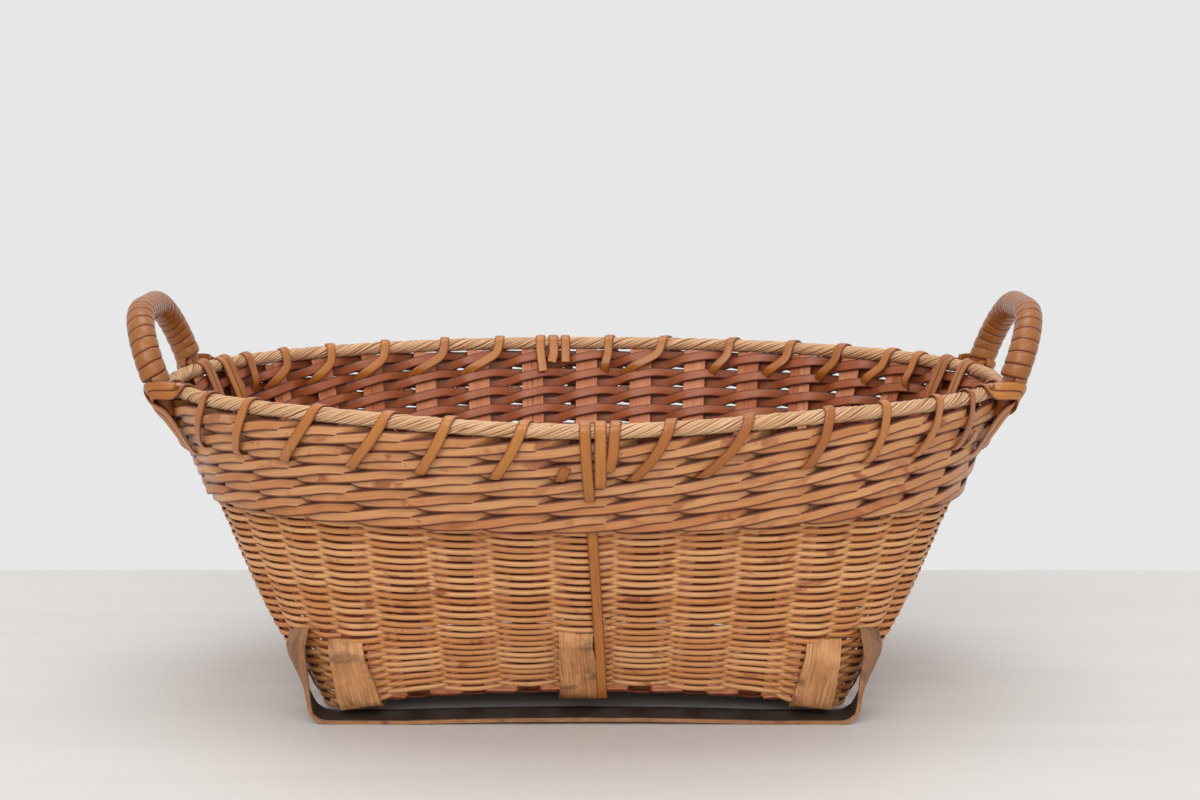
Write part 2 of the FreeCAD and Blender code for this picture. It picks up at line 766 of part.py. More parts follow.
def make_long_tie(label, middle, foot):
    """Tie that hooks over the rope and runs down the outside to the base, aslant."""
    width = size("lashing_width")
    top = middle + LONG_TIE_SHARE
    shoulder = rim_height - lashing_hoop
    weave_face = weave_outside + clearance + lashing_half
    strip = Strip(size("lashing_thickness"))
    add_wall_point(strip, top, rim_height - size("tie_hook_drop"), -lashing_inside, width)
    add_wall_point(strip, top, shoulder, -lashing_inside, width)
    add_hoop(strip, top, width, inward=False)
    for height, outward in (
        (shoulder, lashing_outside),
        (wale_foot, lashing_outside),
        (weave_top_height - size("lashing_width"), weave_face),
        (size("tie_foot_height"), weave_face),
    ):
        share = (rim_height - height) / wall_rise
        add_wall_point(strip, top + (foot - top) * share, height, outward, width)
    add_node(label, strip.solid())


def make_double_tie(label, middle):
    """Tie of two turns round the rope and the upper wale, beside the long one."""
    width = size("lashing_width")
    tail, last = middle + TAIL_TIE_SHARE, middle + SHORT_TIE_SHARE
    shoulder = rim_height - lashing_hoop
    strip = Strip(size("lashing_thickness"))
    add_wall_point(strip, tail, rim_height - size("tie_tail_drop"), lashing_outside, width)
    add_wall_point(strip, tail, shoulder, lashing_outside, width)
    add_hoop(strip, tail, width)
    add_wall_point(strip, tail, shoulder, -lashing_inside, width)
    add_wall_point(strip, last, lashing_bottom, -lashing_inside, width)
    add_wall_point(strip, last, lashing_bottom, lashing_outside, width)
    add_wall_point(strip, last, shoulder, lashing_outside, width)
    add_hoop(strip, last, width)
    add_wall_point(strip, last, shoulder, -lashing_inside, width)
    add_wall_point(strip, last, rim_height - size("tie_hook_drop"), -lashing_inside, width)
    add_node(label, strip.solid())
    print(label, "least gap to itself", round(strip.least_gap(LOOP_POINTS // 2), 2))


def make_ties():
    """At the middle of each long side a tie runs down to the base, beside a double one."""
    for side, middle, foot in (
        ("front", 0, FRONT_TIE_FOOT_SHARE),
        ("back", HALF + BACK_TIE_SHARE, HALF + BACK_TIE_FOOT_SHARE),
    ):
        make_long_tie(side + "_tie_long", middle, foot)
        make_double_tie(side + "_tie_double", middle)


class Handle:
    """Bent core of the right handle, in a plane that leans outward; the left one is turned."""

    def __init__(self):
        self.station = QUARTER - FOOT_SHARE
        foot = outline_point(self.station, rim_quarter_point)
        lean = size("handle_lean")
        self.half_span = -foot.y
        self.rise, self.bend = sizes("handle_rise", "handle_bend")
        self.up = Vector(sine(lean), 0, cosine(lean))
        self.out = Vector(cosine(lean), 0, -sine(lean))
        self.middle = Vector(foot.x + size("handle_standoff"), 0, rim_height)

    def at(self, across, up):
        return self.middle + Vector(0, across, 0) + self.up * up

    def run(self, start):
        """Length of the arch between its two legs at a height above the rim."""
        flat = self.half_span - self.bend
        return 2 * (self.rise - self.bend - start) + math.pi * self.bend + 2 * flat

    def arch(self, travel, start):
        """Centre and direction after a length of travel from the front leg."""
        leg = self.rise - self.bend - start
        arc = math.pi / 2 * self.bend
        flat = 2 * (self.half_span - self.bend)
        if travel > self.run(start) / 2:
            centre, direction = self.arch(self.run(start) - travel, start)
            return Vector(centre.x, -centre.y, centre.z), Vector(-direction.x, direction.y, -direction.z)
        if travel <= leg:
            return self.at(-self.half_span, start + travel), self.up
        if travel <= leg + arc:
            turn = (travel - leg) / self.bend
            across = -self.half_span + self.bend * (1 - math.cos(turn))
            centre = self.at(across, self.rise - self.bend + self.bend * math.sin(turn))
            return centre, self.up * math.cos(turn) + Vector(0, math.sin(turn), 0)
        return self.at(travel - leg - arc - flat / 2, self.rise), Vector(0, 1, 0)


def make_bent_core(handle):
    """Core of the right handle: a leg, a bend, the grip, a bend and a leg."""
    tail = size("handle_tail")
    radius = size("core_diameter") / 2
    leg = handle.rise - handle.bend + tail
    run = handle.run(-tail)
    bend = [leg + math.pi / 2 * handle.bend * step / BEND_STEPS for step in range(BEND_STEPS + 1)]
    rings = []
    for travel in [0.0] + bend + [run - travel for travel in reversed(bend)] + [run]:
        centre, direction = handle.arch(travel, -tail)
        inward = handle.out.cross(direction)
        angles = [2 * math.pi * side / CORE_SIDES for side in range(CORE_SIDES)]
        rings.append([centre + (inward * math.cos(a) + handle.out * math.sin(a)) * radius for a in angles])
    core = doc.addObject("Part::Feature", "bent_core")
    core.Shape = skin(rings, closed=False)
    return core


def make_handle_core(label, bent_core, turn, envelope):
    """Core with its legs scarfed to lie against the wale and the rope."""
    core = doc.addObject("Part::Cut", label)
    core.Label = label
    core.Base = bent_core
    core.Tool = envelope
    core.Placement = FreeCAD.Placement(Vector(), FreeCAD.Rotation(Vector(0, 0, 1), turn))
    doc.recompute()
    nodes[label] = core


def make_handle_wrap(handle, label, turn):
    """Flat cane wound round the core from foot to foot, closer on the inside of the bends."""
    start, thickness = sizes("wrap_start", "wrap_thickness")
    inner = size("core_diameter") / 2 + clearance
    radius = (inner + thickness / 2) / math.cos(math.pi / WRAP_FACETS)
    run = handle.run(start)
    pitch = run / (WRAP_TURNS + 1)
    count = WRAP_TURNS * WRAP_FACETS
    middles = []
    directions = []
    for index in range(-WRAP_FACETS, count + WRAP_FACETS + 1):
        travel = pitch / 2 + (run - pitch) * index / count
        centre, direction = handle.arch(travel, start)
        angle = 2 * math.pi * index / WRAP_FACETS
        spoke = handle.out.cross(direction) * math.cos(angle) + handle.out * math.sin(angle)
        middles.append(centre + spoke * radius)
        directions.append(direction)
    strip = Strip(thickness)
    for index in range(WRAP_FACETS, WRAP_FACETS + count + 1):
        neighbours = (middles[index - WRAP_FACETS], middles[index + WRAP_FACETS])
        space = min(middles[index].distanceToPoint(neighbour) for neighbour in neighbours)
        strip.add(middles[index], directions[index], space - size("wrap_gap"))
    add_node(label, strip.solid(), turn)
    print(label, "least gap to itself", round(strip.least_gap(WRAP_FACETS // 2), 2))


def make_binding(handle, label, foot_sign, turn):
    """Flat cane that crosses a handle's leg twice, as an X, and goes round the rim each time."""
    width, thickness = sizes("binding_width", "lashing_thickness")
    cross, flank = sizes("binding_cross", "binding_flank")
    sideways = Vector(0, 1, 0)
    strip = Strip(thickness)
    station = QUARTER + foot_sign * FOOT_SHARE
    core_radius = size("core_diameter") / 2
    tail = size("handle_tail")
    beside = core_radius + width / 2 + size("binding_beside")
    side_share = beside / WallFrame(station, rim_height).spacing
    shoulder = rim_height - lashing_hoop
    add_wall_point(strip, station - BINDING_FOOT_SHARE, wale_height(LASHED_ROUNDS), -lashing_inside, width)
    add_wall_point(strip, station - BINDING_FOOT_SHARE, lashing_bottom, -lashing_inside, width)
    for sign, layer in ((1, 0), (-1, 1)):
        over = core_radius + thickness / 2 + size("binding_stand")
        over += layer * (thickness + size("binding_gap"))
        add_wall_point(strip, station - sign * BINDING_FOOT_SHARE, lashing_bottom, lashing_outside, width)
        for aside, up, outward in (
            (-sign * cross, -tail - width / 2, over),
            (sign * cross, -tail / 2, over),
            (sign * beside, 0, flank),
        ):
            leg = handle.at(foot_sign * handle.half_span, up)
            strip.add(leg + sideways * aside + handle.out * outward, sideways, width)
        add_hoop(strip, station + sign * side_share, width)
        add_wall_point(strip, station + sign * side_share, shoulder, -lashing_inside, width)
        if sign > 0:
            add_wall_point(strip, station + BINDING_FOOT_SHARE, lashing_bottom, -lashing_inside, width)
    end_height = shoulder - width / 2
    add_wall_point(strip, station - side_share, end_height, -lashing_inside, width)
    add_node(label, strip.solid(), turn)
    print(label, "least gap to itself", round(strip.least_gap(LOOP_POINTS // 2), 2))


def make_handles():
    """A handle at each end: core, winding and a binding at each foot; the left is the right turned."""
    handle = Handle()
    envelope = doc.addObject("Part::Feature", "wall_envelope")
    outlines = []
    for height in (weave_top_height, rim_height + rope_radius + clearance):
        level = []
        for frame in outline_frames(height):
            sideways = Vector(frame.out.x, frame.out.y, 0)
            off_wall = (wale_outside + size("scarf_clearance")) / sideways.Length ** 2
            level.append(frame.point + sideways * off_wall)
        outlines.append(level)
    envelope.Shape = skin(outlines, closed=False)
    bent_core = make_bent_core(handle)
    for side, turn in (("right", 0.0), ("left", 180.0)):
        make_handle_core("handle_core_" + side, bent_core, turn, envelope)
        make_handle_wrap(handle, "handle_wrap_" + side, turn)
        for foot_sign in (-1, 1):
            place = "front" if (foot_sign < 0) == (turn == 0) else "back"
            make_binding(handle, "handle_binding_" + side + "_" + place, foot_sign, turn)


def check_and_write():
    """Stop at any failed object, then write each sub-part under its own name."""
    doc.recompute()
    for item in doc.Objects:
        if "Invalid" in item.State or "Error" in item.State:
            raise RuntimeError(item.Name + " failed")
    for label, piece in nodes.items():
        shape = piece.Shape
        if shape.isNull() or not shape.isValid() or len(shape.Solids) != 1:
            raise RuntimeError(label + " has no single valid solid")
    os.makedirs("parts", exist_ok=True)
    for label, piece in nodes.items():
        piece.Shape.exportStep("parts/" + label + ".step")
    print(len(nodes), "pieces written")


make_straps()
make_stakes()
make_weave()
make_wale()
make_rope()
make_lashings()
make_ties()
make_handles()
check_and_write()
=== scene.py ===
"""Looks of an oval rattan basket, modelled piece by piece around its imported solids.

Metres throughout; the origin is on the floor under the basket's middle, +X to the right handle, -Y to
the front, +Z up. Stations count the 36 stakes counter-clockwise from the front middle.
"""

import math
from functools import cache

import bmesh
import bpy
import numpy as np
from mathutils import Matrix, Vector


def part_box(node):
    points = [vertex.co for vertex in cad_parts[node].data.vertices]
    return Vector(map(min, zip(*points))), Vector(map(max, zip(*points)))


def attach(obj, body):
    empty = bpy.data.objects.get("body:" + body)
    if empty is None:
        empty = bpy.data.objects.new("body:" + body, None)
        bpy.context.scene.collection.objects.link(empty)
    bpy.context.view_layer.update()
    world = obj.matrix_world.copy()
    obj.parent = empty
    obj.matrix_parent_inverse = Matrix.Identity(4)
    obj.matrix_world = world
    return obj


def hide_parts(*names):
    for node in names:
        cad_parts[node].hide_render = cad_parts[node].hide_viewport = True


bl_info = {
    "name": "Rattan Basket",
    "version": (1, 0, 0),
    "blender": (4, 5, 0),
    "location": "View3D > Sidebar > Basket",
    "description": "Models an oval rattan basket with bound handles, piece by piece",
    "category": "Add Mesh",
}

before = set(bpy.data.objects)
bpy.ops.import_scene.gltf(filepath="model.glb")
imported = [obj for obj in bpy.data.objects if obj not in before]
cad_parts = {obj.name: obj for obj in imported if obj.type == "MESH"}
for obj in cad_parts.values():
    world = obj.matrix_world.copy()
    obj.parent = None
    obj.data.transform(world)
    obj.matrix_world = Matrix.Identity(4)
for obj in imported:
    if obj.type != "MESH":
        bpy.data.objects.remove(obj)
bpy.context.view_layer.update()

# Stakes beside the middle one of a side and of an end, steps round a corner, and stations in a quarter, in half
# and in the whole of the round
SIDE_REACH, END_REACH, CORNER_STEPS = 4, 2, 3
QUARTER = SIDE_REACH + CORNER_STEPS + END_REACH
HALF = 2 * QUARTER
STAKES = 2 * HALF
# Stations between which the swell of an end grows, how sharply its rise turns, and the front's sag
SWELL_FROM, SWELL_FULL, SWELL_SHARPNESS = SIDE_REACH + 1, QUARTER - 1, 5.0
SAG_REACH = 4.5
# Gap between canes that lie on each other, and the seed of each group's uneven lines
CLEARANCE = 0.0003
SEEDS = {"stakes": 11, "base": 12, "weave": 13, "wale": 14, "rope": 15, "lashing": 16, "ties": 17,
         "handles": 18, "straps": 19}


def length(name, description, default):
    return bpy.props.FloatProperty(
        name=name, description=description, default=default, min=0.0, precision=5, unit="LENGTH",
        subtype="DISTANCE",
    )


def angle(name, description, degrees):
    return bpy.props.FloatProperty(
        name=name, description=description, default=math.radians(degrees), subtype="ANGLE"
    )


def colour(name, description, default):
    return bpy.props.FloatVectorProperty(
        name=name, description=description, default=default, size=3, min=0.0, max=1.0, subtype="COLOR"
    )


def count(name, description, default):
    return bpy.props.IntProperty(name=name, description=description, default=default, min=1)


class BasketWall(bpy.types.PropertyGroup):
    """Shape of the wall that every piece follows."""

    rim_half_length: length("Rim half length", "Half length of the rim's oval", 0.2145)
    rim_half_depth: length("Rim half depth", "Half depth of the rim's oval", 0.151)
    rim_height: length("Rim height", "Height of the rope's middle", 0.1627)
    base_height: length("Base height", "Height of the base's middle", 0.00695)
    cross_pitch: length("Side spacing", "Spacing of the stakes on a long side of the base", 0.02775)
    long_pitch: length("End spacing", "Spacing of the stakes on an end of the base", 0.027)
    corner_run: length("Corner run", "Straight run beside a corner of the base", 0.004)
    corner_radius: length("Corner radius", "Radius of a corner of the base", 0.014)
    end_swell: length("End swell", "How far the end walls swell out of a straight rise", 0.0135)
    end_swell_height: length("Swell height", "Height at which the end walls swell most", 0.046)
    front_sag: length("Front sag", "How far the rim sags in the middle of the front", 0.0038)
    sag_height: length("Sag height", "Height at which the wall starts to sag", 0.085)
    base_bow: length("Base bow", "How far the base bows up in the middle", 0.0065)
    bow_inside: length("Bow inside", "Distance from the middle at which the base starts to bow", 0.034)
    bow_reach: length("Bow reach", "Half length over which the base bows up", 0.121)
    bow_height: length("Bow height", "Height above which the wall no longer bows", 0.062)
    corner_droop: length("Corner droop", "How far the wall's lower corners hang down", 0.0068)
    droop_from: length("Droop start", "Distance from the middle at which the corners start to hang", 0.085)
    droop_height: length("Droop height", "Height above which the corners no longer hang", 0.048)
    droop_foot: length("Droop foot", "Rise from the base over which the corners start to hang", 0.004)


class BasketCane(bpy.types.PropertyGroup):
    """Sections of the canes and splints."""

    stake_width: length("Stake width", "Width of a stake at its tip", 0.0125)
    stake_foot_width: length("Stake foot width", "Width of a stake on the base", 0.0118)
    corner_foot_width: length("Corner stake foot", "Width of a corner stake at its foot", 0.0045)
    stake_thickness: length("Stake thickness", "Thickness of a stake", 0.0012)
    filler_width: length("Filler width", "Width of the splints between the stakes of the base", 0.0140)
    edge_width: length("Edge strip width", "Width of the strips along the base's long edges", 0.0042)
    edge_place: length("Edge strip place", "Distance of the edge strips from the middle", 0.0643)
    edge_reach: length("Edge strip reach", "Half length of the edge strips", 0.104)
    weaver_width: length("Weaver width", "Width of a fine weaver", 0.0032)
    weaver_thickness: length("Weaver thickness", "Thickness of a fine weaver", 0.0015)
    weaver_swing: length("Weaver swing", "How far a weaver swings out of the wall at a stake", 0.0022)
    weave_rows: count("Weave rows", "Rows of the fine weave", 50)
    weave_bottom: length("Weave bottom", "Height of the lowest row", 0.0112)
    weave_top: length("Weave top", "Height of the highest row", 0.1105)
    wale_width: length("Wale cane width", "Width of a cane of the wale", 0.0055)
    wale_thickness: length("Wale cane thickness", "Thickness of a cane of the wale", 0.0015)
    wale_lift: length("Wale lift", "Rise and fall of a cane about its round", 0.0021)
    wale_cross: length("Wale cross", "How far out a cane stands at a stake", 0.0049)
    wale_bulge: length("Wale bulge", "How much farther out a cane stands between stakes", 0.0011)
    wale_depth: length("Wale depth", "How far in a cane stands behind a stake", 0.00235)
    wale_roll: angle("Wale roll", "Roll of a cane's outer side towards the rim", 17.0)
    rope_radius: length("Rope radius", "Radius of the rim's rope", 0.0036)
    rope_lay: length("Rope lay", "Length of one twist of the rope", 0.043)
    rope_strands: count("Rope strands", "Splints in the rope", 13)
    lashing_width: length("Lashing width", "Width of the lashing cane", 0.0052)
    lashing_thickness: length("Lashing thickness", "Thickness of the lashing cane", 0.0013)


class BasketHandle(bpy.types.PropertyGroup):
    """Arch of the handles, and their windings."""

    core_diameter: length("Core diameter", "Diameter of the bent core", 0.0105)
    standoff: length("Standoff", "Distance of the core from the rope's middle", 0.010)
    lean: angle("Lean", "Outward lean of the arch", 20.0)
    rise: length("Rise", "Height of the arch along its lean", 0.0397)
    bend: length("Bend", "Radius of the arch's corners", 0.032)
    tail: length("Tail", "Length of a leg below the rim", 0.0135)
    scarf: length("Scarf", "Length over which a leg thins towards its end", 0.016)
    scarf_inset: length("Scarf inset", "How far a leg's end stands in towards the wall", 0.0010)
    wrap_start: length("Winding start", "Height above the rim at which the winding starts", 0.0022)
    wrap_thickness: length("Winding thickness", "Thickness of the winding cane", 0.0016)
    wrap_turns: count("Winding turns", "Turns of the winding", 23)
    binding_width: length("Binding width", "Width of the canes that bind a foot", 0.0046)


class BasketStrap(bpy.types.PropertyGroup):
    """Bamboo straps under the base."""

    long_width: length("Long strap width", "Width of a long strap", 0.020)
    long_thickness: length("Long strap thickness", "Thickness of a long strap", 0.0026)
    long_bend: length("Long strap bend", "Radius of a long strap's bends", 0.011)
    long_place: length("Long strap place", "Distance of a long strap from the middle", 0.075)
    long_top: length("Long strap top", "Height of a long strap's ends", 0.044)
    long_slope: angle("Long strap slope", "Slope of a long strap's ends", 67.0)
    long_twist: angle("Long strap twist", "Twist of a long strap's ends", 32.0)
    cross_width: length("Cross strap width", "Width of a cross strap under the base", 0.0208)
    cross_tip_width: length("Cross strap tip width", "Width of a cross strap at its ends", 0.0168)
    cross_thickness: length("Cross strap thickness", "Thickness of a cross strap", 0.0024)
    cross_bend: length("Cross strap bend", "Radius of a cross strap's bends", 0.014)
    mid_top: length("Middle strap top", "Height of the middle strap's ends", 0.049)
    side_top: length("Side strap top", "Height of the side straps' ends", 0.042)
    mid_lean: length("Middle strap lean", "How far the wall leans out beside the middle strap", 0.079)
    side_lean: length("Side strap lean", "How far the wall leans out beside the side straps", 0.0635)
    tuck: length("Tuck", "How far a strap's ends are tucked into the weave", 0.0064)
    tuck_run: length("Tuck run", "Length over which a strap's ends turn in", 0.009)


class BasketColours(bpy.types.PropertyGroup):
    """Colours of the canes, the bamboo and the stage."""

    straw: colour("Straw", "Pale cane", (0.74, 0.395, 0.165))
    tan: colour("Tan", "Usual colour of the cane", (0.59, 0.250, 0.080))
    # Red-brown of the canes' patches and inner side; also mixed into the painted shade at the canes' edges and
    # on the stakes' outer side
    russet: colour("Russet", "Red-brown patches and the canes' inner side", (0.270, 0.060, 0.018))
    russet_pale: colour("Pale russet", "Paler places of the canes' inner side", (0.34, 0.085, 0.030))
    # Dark specks and scratches of the canes and straps; also the painted shade at the canes' edges, on the
    # stakes' outer side and on the long straps
    specks_and_shade: colour("Dark_specks_and_shade", "Dark specks and edges", (0.085, 0.022, 0.010))
    rope_pale: colour("Pale rope", "Paler splints of the rim's rope", (0.68, 0.440, 0.250))
    rope: colour("Rope", "Usual splints of the rim's rope", (0.54, 0.295, 0.135))
    amber: colour("Amber", "Lashing cane", (0.36, 0.118, 0.014))
    honey: colour("Honey", "Pale lashing cane", (0.47, 0.178, 0.030))
    grip: colour("Grip", "Cane of the handles, darkened by hands", (0.23, 0.074, 0.009))
    grip_pale: colour("Grip pale", "Paler cane of the handles", (0.32, 0.118, 0.021))
    stake: colour("Stake", "Stakes seen inside", (0.48, 0.150, 0.060))
    stake_pale: colour("Pale stake", "Paler stakes", (0.66, 0.265, 0.135))
    bamboo: colour("Bamboo", "Straps", (0.52, 0.225, 0.080))
    bamboo_pale: colour("Pale bamboo", "Paler places of the straps", (0.64, 0.315, 0.125))
    bamboo_dark: colour("Bamboo stain", "Stains on the straps", (0.150, 0.070, 0.030))
    # Painted shade: near black put on the straps' upper sides, where they lie in the shade under the base
    strap_top_shade: colour("Strap_shade", "Dark upper sides of the straps", (0.012, 0.008, 0.006))
    floor: colour("Floor", "Pale table", (0.63, 0.62, 0.612))
    backdrop: colour("Backdrop", "Pale wall behind", (0.80, 0.80, 0.80))


def sizes(group):
    return getattr(bpy.context.scene, "basket_" + group)


# ---------------------------------------------------------------- the wall

OVAL_STEPS = 720
# Stations each side of a point between which the wall's direction is taken
FRAME_STEP = 0.18
# Fine points of a spline for each sample, the fewest, and the least gap between two knots
FINE_PER_SAMPLE, FEWEST_FINE, LEAST_GAP = 6, 200, 1e-7
RIPPLES = {
    # unevenness round the basket: its size, in metres, radians or shares, and its waves in a round
    "row height": (0.00016, (3, 5, 8, 13)),
    "row swing": (0.0001, (7, 11, 19)),
    "row width": (0.04, (5, 9, 14)),
    "wale height": (0.00022, (4, 7, 11)),
    "wale width": (0.035, (5, 8, 13)),
    "rope twist": (0.10, (9, 16, 25)),
    "rope radius": (0.05, (11, 19, 31)),
}


def share_between(value, low, high):
    """How far a value is on its way from low to high, from 0 to 1."""
    return np.clip((value - low) / (high - low), 0.0, 1.0)


def eased(share):
    """A share that starts and ends softly."""
    return share * share * (3.0 - 2.0 * share)


def steps_along(line):
    return np.linalg.norm(np.diff(line, axis=0), axis=1)


def runs_along(line):
    """Length of a line from its start to each of its points."""
    return np.concatenate([[0.0], np.cumsum(steps_along(line))])


def unit(vectors):
    return vectors / np.maximum(np.linalg.norm(vectors, axis=-1, keepdims=True), 1e-12)


def rim_quarter(station):
    """Rim points of the front right quarter, at even steps along the oval."""
    wall = sizes("wall")

    def oval(turn):
        return wall.rim_half_length * np.sin(turn), -wall.rim_half_depth * np.cos(turn)

    turns = np.linspace(0.0, math.pi / 2, OVAL_STEPS + 1)
    runs = runs_along(np.stack(oval(turns), 1))
    return oval(np.interp(station / QUARTER * runs[-1], runs, turns))


def base_reach():
    """Half length and half depth of the base's outline."""
    wall = sizes("wall")
    corner = wall.corner_run + wall.corner_radius
    return SIDE_REACH * wall.cross_pitch + corner, END_REACH * wall.long_pitch + corner


def base_quarter(station):
    """Base points of the front right quarter: a side, a rounded corner and half an end."""
    wall = sizes("wall")
    run, radius = wall.corner_run, wall.corner_radius
    side, end = SIDE_REACH * wall.cross_pitch, END_REACH * wall.long_pitch
    half_length, half_depth = base_reach()
    arc = radius * math.pi / 2
    travel = (station - SIDE_REACH) / CORNER_STEPS * (2 * run + arc)
    turn = np.clip((travel - run) / radius, 0.0, math.pi / 2)
    x = np.where(travel < run, side + travel, half_length - radius + radius * np.sin(turn))
    y = radius - half_depth - radius * np.cos(turn)
    y = np.where(travel > run + arc, travel - end - 2 * run - arc, y)
    x = np.where(station <= SIDE_REACH, station * wall.cross_pitch, x)
    y = np.where(station >= SIDE_REACH + CORNER_STEPS, (station - QUARTER) * wall.long_pitch, y)
    return x, y


def outline(station, quarter):
    """Carry a quarter of an outline round all four quarters."""
    station = np.mod(station, STAKES)
    turned_half = station > HALF
    station = np.where(turned_half, station - HALF, station)
    back = station > QUARTER
    x, y = quarter(np.where(back, HALF - station, station))
    sign = np.where(turned_half, -1.0, 1.0)
    return np.stack([x * sign, np.where(back, -y, y) * sign], -1)


def end_swell(station, height):
    """How far the wall swells to the left or right: fully at the ends, not along the sides."""
    wall = sizes("wall")
    from_middle = np.minimum(np.mod(station, HALF), np.mod(-station, HALF))
    turn = share_between(from_middle, SWELL_FROM, SWELL_FULL) * math.pi / 2
    rising = (height - wall.base_height) / (wall.end_swell_height - wall.base_height)
    falling = (wall.rim_height - height) / (wall.rim_height - wall.end_swell_height)
    share = -np.logaddexp(-SWELL_SHARPNESS * rising, -SWELL_SHARPNESS * falling) / SWELL_SHARPNESS
    side = np.where(np.mod(station, STAKES) < HALF, 1.0, -1.0)
    return side * wall.end_swell * np.sin(turn) ** 2 * share


def rim_sag(station, height):
    """How far the upper wall hangs down towards the middle of the front."""
    wall = sizes("wall")
    from_front = np.abs(np.mod(station + HALF, STAKES) - HALF)
    near = np.cos(share_between(from_front, 0.0, SAG_REACH) * math.pi / 2) ** 2
    return wall.front_sag * near * share_between(height, wall.sag_height, wall.rim_height)


def wall_point(station, height):
    """Points of the stakes' middle surface: straight from base to rim, but for its swell and its sag."""
    wall = sizes("wall")
    station, height = np.broadcast_arrays(np.asarray(station, float), np.asarray(height, float))
    share = (height - wall.base_height) / (wall.rim_height - wall.base_height)
    foot, tip = outline(station, base_quarter), outline(station, rim_quarter)
    flat = foot + (tip - foot) * share[..., None]
    flat[..., 0] += end_swell(station, height)
    return np.concatenate([flat, (height - rim_sag(station, height))[..., None]], -1)


def wall_frame(station, height):
    """Points of the wall with unit directions along the round, up the wall and out of it."""
    wall = sizes("wall")
    along = unit(wall_point(station + FRAME_STEP, height) - wall_point(station - FRAME_STEP, height))
    up = unit(wall_point(station, np.full_like(height, wall.rim_height))
              - wall_point(station, np.full_like(height, wall.base_height)))
    return wall_point(station, height), along, up, unit(np.cross(along, up))


def bowed(points):
    """Bow the base and the lowest rows up along the long sides, and let the lower corners hang."""
    wall = sizes("wall")
    along, aside, height = np.abs(points[:, 0]), np.abs(points[:, 1]), points[:, 2]
    foot = wall.base_height
    beside = share_between(aside, wall.bow_inside, 2 * wall.bow_inside)
    arch = np.clip(1.0 - (along / wall.bow_reach) ** 2, 0.0, 1.0)
    fade = 1.0 - eased(share_between(height, foot, wall.bow_height))
    outer = share_between(along, wall.droop_from, wall.bow_reach)
    low = 1.0 - share_between(height, foot, wall.droop_height)
    low = low * share_between(height, foot, foot + wall.droop_foot)
    lifted = points.copy()
    lifted[:, 2] += (wall.base_bow * arch * fade - wall.corner_droop * outer * low) * beside
    return lifted


def ripple(rng, stations, kind):
    """Smooth uneven line round the basket."""
    size, waves = RIPPLES[kind]
    line = np.zeros_like(stations)
    for wave in waves:
        line += np.sin(2 * math.pi * (stations * wave / STAKES + rng.random())) * rng.normal()
    return line * size / math.sqrt(len(waves))


def through(knots, samples):
    """Smooth line of so many even steps through knots of points, and of what else they hold."""
    knots = np.asarray(knots, float)
    gaps = np.maximum(steps_along(knots[:, :3]), LEAST_GAP) ** 0.5
    times = np.concatenate([[0.0], np.cumsum(gaps)])
    padded = np.vstack([2 * knots[0] - knots[1], knots, 2 * knots[-1] - knots[-2]])
    clock = np.concatenate([[times[0] - gaps[0]], times, [times[-1] + gaps[-1]]])
    fine = np.linspace(0.0, times[-1], max(samples * FINE_PER_SAMPLE, FEWEST_FINE))
    index = np.clip(np.searchsorted(times, fine, side="right") - 1, 0, len(times) - 2)
    ticks = [clock[index + step][:, None] for step in range(4)]
    points = [padded[index + step] for step in range(4)]
    now = fine[:, None]

    def between(first, second, start, end):
        return (end - now) / (end - start) * first + (now - start) / (end - start) * second

    points = [between(points[step], points[step + 1], ticks[step], ticks[step + 1]) for step in range(3)]
    points = [between(points[step], points[step + 1], ticks[step], ticks[step + 2]) for step in range(2)]
    line = between(*points, ticks[1], ticks[2])
    runs = runs_along(line[:, :3])
    even = np.linspace(0.0, runs[-1], samples)
    return np.stack([np.interp(even, runs, column) for column in line.T], 1)


# ---------------------------------------------------------------- rods and strands

ROD_SHAPES = {
    # shape: sides of a round rod, or bevel and segments of a flat one
    "round": {"sides": 8},
    "flat": {"bevel": 0.2, "segments": 2},
    "domed": {"bevel": 0.36, "segments": 3},
    "strap": {"bevel": 0.07, "segments": 2},
}
# How far a strand's own pattern may be shifted along and across it
PATTERN_SHIFT = (7.0, 3.0)
straight_rods = {}


def select_lengthwise(rod):
    """Select only the edges that run along a straight rod."""
    bpy.ops.mesh.select_mode(type="EDGE")
    bpy.ops.mesh.select_all(action="DESELECT")
    edges = bmesh.from_edit_mesh(rod.data)
    for edge in edges.edges:
        near, far = (corner.co for corner in edge.verts)
        edge.select_set(abs(near.z - far.z) > abs(near.x - far.x) + abs(near.y - far.y))
    bmesh.update_edit_mesh(rod.data)


def straight_rod(shape, cuts):
    """A straight rod, one unit wide, thick and long, cut across so many times, kept for copying."""
    if (shape, cuts) not in straight_rods:
        form = ROD_SHAPES[shape]
        bpy.ops.object.select_all(action="DESELECT")
        if "sides" in form:
            bpy.ops.mesh.primitive_cylinder_add(vertices=form["sides"], radius=0.5, depth=1.0)
        else:
            bpy.ops.mesh.primitive_cube_add(size=1.0)
        rod = bpy.context.active_object
        bpy.ops.object.mode_set(mode="EDIT")
        if "bevel" in form:
            select_lengthwise(rod)
            bpy.ops.mesh.bevel(offset=form["bevel"], segments=form["segments"], affect="EDGES")
        for cut in cuts:
            select_lengthwise(rod)
            bpy.ops.mesh.subdivide(number_cuts=cut)
        bpy.ops.object.mode_set(mode="OBJECT")
        straight_rods[(shape, cuts)] = rod.data.copy()
        bpy.data.meshes.remove(rod.data)
    return straight_rods[(shape, cuts)]


def sections(cuts):
    """Points along a rod that is cut so many times."""
    return math.prod(cut + 1 for cut in cuts) + 1


